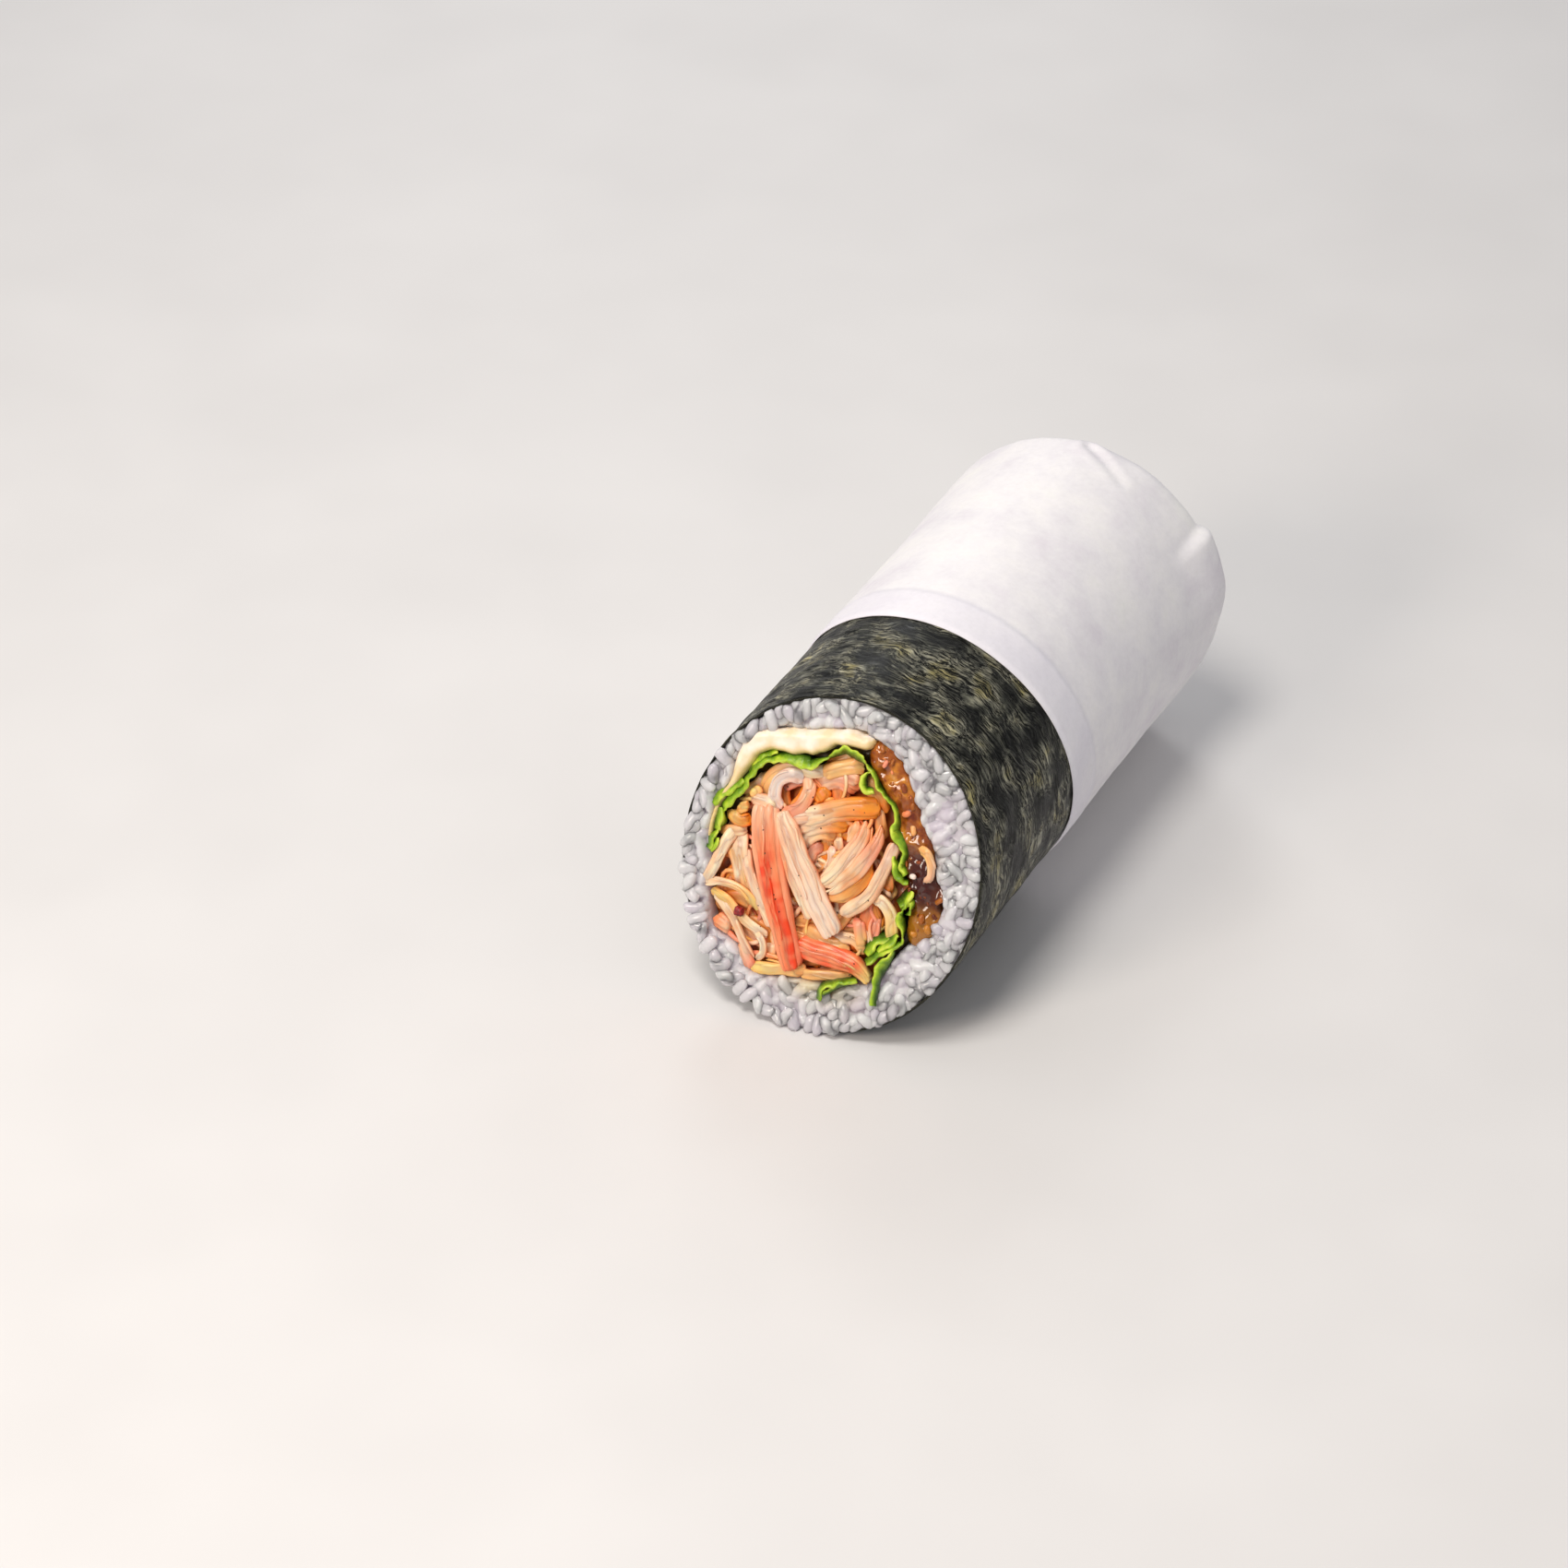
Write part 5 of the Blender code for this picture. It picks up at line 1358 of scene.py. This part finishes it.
def makeLettuceMaterial():
    # leafLettuce: a thin fresh leaf, cut with a knife, so waxy and see-through at its edge; its colour
    # is painted darker the further down the lean behind the cut it lies, as shade where it folds into itself
    material, tree = newMaterial("leafLettuce", Roughness=0.32, IOR=1.42, Subsurface_Weight=0.25,
                                 Subsurface_Radius=(0.5, 1.0, 0.25), Subsurface_Scale=0.8 * mm)
    leaf = addNode(tree, "Attribute", attribute_name="leaf").outputs["Vector"]
    share = addNode(tree, "SeparateXYZ", {"Vector": leaf}).outputs["X"]
    place = addNode(tree, "TexCoord").outputs["Object"]
    blotch = addNode(tree, "TexNoise", {"Vector": place, "Scale": perMetre(3.2), "Detail": 3.0})
    shift = addNode(tree, "Math", {0: blotch, 1: 1.0, 2: -0.46}, operation="MULTIPLY_ADD")
    # painted shade: the share of the way down the lean, with random blotches, darkens the leaf's colour
    down = addNode(tree, "Math", {0: share, 1: shift}, operation="ADD", use_clamp=True)
    tone = addNode(tree, "ValToRGB", {"Fac": down},
                   stops=[(0.0, "#d2e050"), (0.12, "#acc830"), (0.3, "#789e1e"), (0.52, "#426812"),
                          (0.85, "#223e08")])
    veins = addNode(tree, "TexVoronoi", {"Vector": place, "Scale": perMetre(1.7)}, feature="DISTANCE_TO_EDGE")
    net = addNode(tree, "MapRange", {"Value": veins, "From Max": 0.18})
    return finishMaterial(material, {"Base Color": tone}, net, 0.35, 0.15)


def leafShape(knots, seed):
    rough = smoothLine(knots, 10)
    length = lineLength([spot.to_2d() for spot in rough])
    count = max(8, int(length / lettuce["every"]))
    line = evenLine(rough, count + 1)
    rows = len(lettuce["depths"]) + 2
    points, values = [], []
    for index, (x, z, reach, stand) in enumerate(line):
        left = leftOf(line, index)
        run = index / count * length
        frill = lettuce["ruffle"] * (ripple(run, seed, 1, 2.9) + 0.6 * ripple(run, seed, 5, 1.3))
        for share in lettuce["depths"]:
            side = left * (reach * math.sin(share * math.pi / 2) + frill * (1 - share) ** 1.5)
            depth = lettuce["leanDepth"] * share ** 1.7 - 0.25 * math.sin(min(1, share * 4) * math.pi)
            bump = 0.4 * ripple(run, share * 4, seed, 1.7) + 0.4 * frill * (1 - share)
            points.append(inView(x + side.x, z + side.y, stand - depth + bump))
            values.append((share, run * mm, seed))
        side = left * (reach * 0.6)
        points.append(onCut(x + side.x, z + side.y, -lettuce["behind"]))
        points.append(inRoll(x + side.x, roll["length"] - backGap - 0.1, z + side.y))
        values += [(1.0, run * mm, seed)] * 2
    faces = []
    for index in range(count):
        for row in range(rows - 1):
            here = index * rows + row
            faces.append((here, here + 1, here + rows + 1, here + rows))
    return points, faces, {"leaf": values}


def makeLettuce(material):
    draw = random.Random(lettuce["seed"])
    for name in ("leaf", "fold", "shred"):
        leaves = joinShapes([leafShape(knots, draw.uniform(0, 50)) for knots in lettuce[name]])
        addPiece("lettuce" + name.capitalize(), leaves, material, "lettuce", "lettuce_" + name,
                 thickness=lettuce["thickness"])


# small things: a pink peppercorn and ground pepper on the crab

pepper = {"corn": (-18.8, -14.5), "cornSize": 2.3, "specks": 34, "speckSize": (0.22, 0.5), "seed": 17}


def makePeppercornMaterial():
    # pinkPeppercorn: a dried berry, so a brittle papery red skin with a low shine
    material, tree = newMaterial("pinkPeppercorn", Roughness=0.36, IOR=1.45)
    place = addNode(tree, "TexCoord").outputs["Object"]
    wrinkle = addNode(tree, "TexNoise", {"Vector": place, "Scale": perMetre(0.7), "Detail": 2.0})
    tone = addNode(tree, "ValToRGB", {"Fac": wrinkle}, stops=[(0.35, "#5c0f12"), (0.65, "#a3262a")])
    return finishMaterial(material, {"Base Color": tone})


def makePepperMaterial():
    # groundPepper: cracked black pepper, dull and dark brown, with paler broken faces
    material, tree = newMaterial("groundPepper", Roughness=0.7, IOR=1.5)
    place = addNode(tree, "TexCoord").outputs["Object"]
    flecks = addNode(tree, "TexNoise", {"Vector": place, "Scale": perMetre(0.5)})
    tone = addNode(tree, "ValToRGB", {"Fac": flecks}, stops=[(0.4, "#2b1a12"), (0.7, "#6b4a35")])
    return finishMaterial(material, {"Base Color": tone})


def topOf(x, z, trees):
    # where a line from the eye meets the crab over this spot of the cut, and how it faces there
    start = inView(x, z, 12)
    hits = [tree.ray_cast(start, -toEye, 0.03) for tree in trees]
    hits = [hit for hit in hits if hit[0] is not None]
    return min(hits, key=lambda hit: hit[3])[:2] if hits else (None, None)


def makePepper(cornMaterial, speckMaterial):
    draw = random.Random(pepper["seed"])
    trees = []
    for name in ("crabStrands", "crabStickPale", "crabStickRed", "crabStickOrange", "crabFlake"):
        mesh = bpy.data.objects[name].data
        trees.append(BVHTree.FromPolygons([vert.co for vert in mesh.vertices],
                                          [tuple(face.vertices) for face in mesh.polygons]))
    size = pepper["cornSize"]
    spot = topOf(*pepper["corn"], trees)[0] + cutNormal * (size * 0.28 * mm)
    corn = lumpPoints(draw, size, size * 0.95, size * 0.95, 20, 14)
    corn = [spot + point * ((1 + 0.1 * ripple(*point, 0.45)) * mm) for point in corn]
    addPiece("peppercorn", (corn, lumpFaces(20, 14), {}), cornMaterial, "crab")
    specks = []
    for _ in range(pepper["specks"]):
        x, z = draw.uniform(-22, 12), draw.uniform(-22, 14)
        spot, facing = topOf(x, z, trees)
        if spot is None or not insideLoop(x, z, loops["crab"]):
            continue
        length = draw.uniform(*pepper["speckSize"])
        speck = lumpPoints(draw, length, length * 0.7, length * 0.4, 6, 4)
        lay = facing.to_track_quat("Z", "Y").to_matrix() @ Matrix.Rotation(draw.uniform(0, 3), 3, "Z")
        specks.append(([spot + lay @ (point * mm) for point in speck], lumpFaces(6, 4), {}))
    addPiece("pepperSpecks", joinShapes(specks), speckMaterial, "crab")


def makeFloor():
    # studioBoard: matt laminate, pale and even, so it only takes the soft shadow
    material, tree = newMaterial("studioBoard", Roughness=0.6)
    place = addNode(tree, "TexCoord").outputs["Object"]
    haze = addNode(tree, "TexNoise", {"Vector": place, "Scale": perMetre(60)})
    tone = addNode(tree, "ValToRGB", {"Fac": haze}, stops=[(0.3, "#e0dedd"), (0.7, "#e5e3e2")])
    finishMaterial(material, {"Base Color": tone})
    surface = bmesh.new()
    bmesh.ops.create_grid(surface, x_segments=1, y_segments=1, size=4)
    mesh = bpy.data.meshes.new("floor")
    surface.to_mesh(mesh)
    surface.free()
    mesh.materials.append(material)
    floor = addObject("floor", mesh)
    floor.location.z = -0.1 * mm


# light: a soft lamp overhead, a soft fill on the cut, a weaker one behind, and a pale room

lights = {
    # where it stands from the burrito and its size, in metres, its watts and its colour
    "key": ((-0.06, -0.30, 0.90), 0.35, 4.5, "#fffaf3"),
    "fill": ((-0.30, -0.80, 0.50), 0.35, 4.0, "#fff3e6"),
    "rim": ((-0.48, 0.72, 0.52), 0.35, 1.6, "#ffffff"),
}
room = {"colour": "#f6f7fb", "strength": 0.4}


def addLights():
    target = inRoll(0, 50, 0)
    for name, (offset, size, watts, colour) in lights.items():
        data = bpy.data.lights.new(name, "AREA")
        data.shape = "DISK"
        data.size = size
        data.energy = watts
        data.color = srgb(colour)[:3]
        lamp = addObject(name, data)
        lamp.location = target + Vector(offset)
        lamp.rotation_mode = "QUATERNION"
        lamp.rotation_quaternion = Vector(offset).to_track_quat("Z", "Y")
    world = bpy.data.worlds.new("room")
    world.use_nodes = True
    back = world.node_tree.nodes["Background"]
    back.inputs["Color"].default_value = srgb(room["colour"])
    back.inputs["Strength"].default_value = room["strength"]
    bpy.context.scene.world = world


makeFloor()
addLights()
print("camera, floor and lights set")
makePaper(makePaperMaterial())
makeNori(makeNoriMaterial())
print("paper and seaweed made")
makeRice(makeRiceMaterial())
print("rice made")
makeMayo(makeMayoMaterial())
crabMaterial = makeCrabMaterial("surimi", 0.38)
makeSauce(makeSauceMaterial(), crabMaterial)
makeLettuce(makeLettuceMaterial())
print("mayonnaise, sauce and lettuce made")
makeCrab(crabMaterial, makeCrabMaterial("colouredSurimi", 0.34))
makePepper(makePeppercornMaterial(), makePepperMaterial())
print("crab and pepper made")
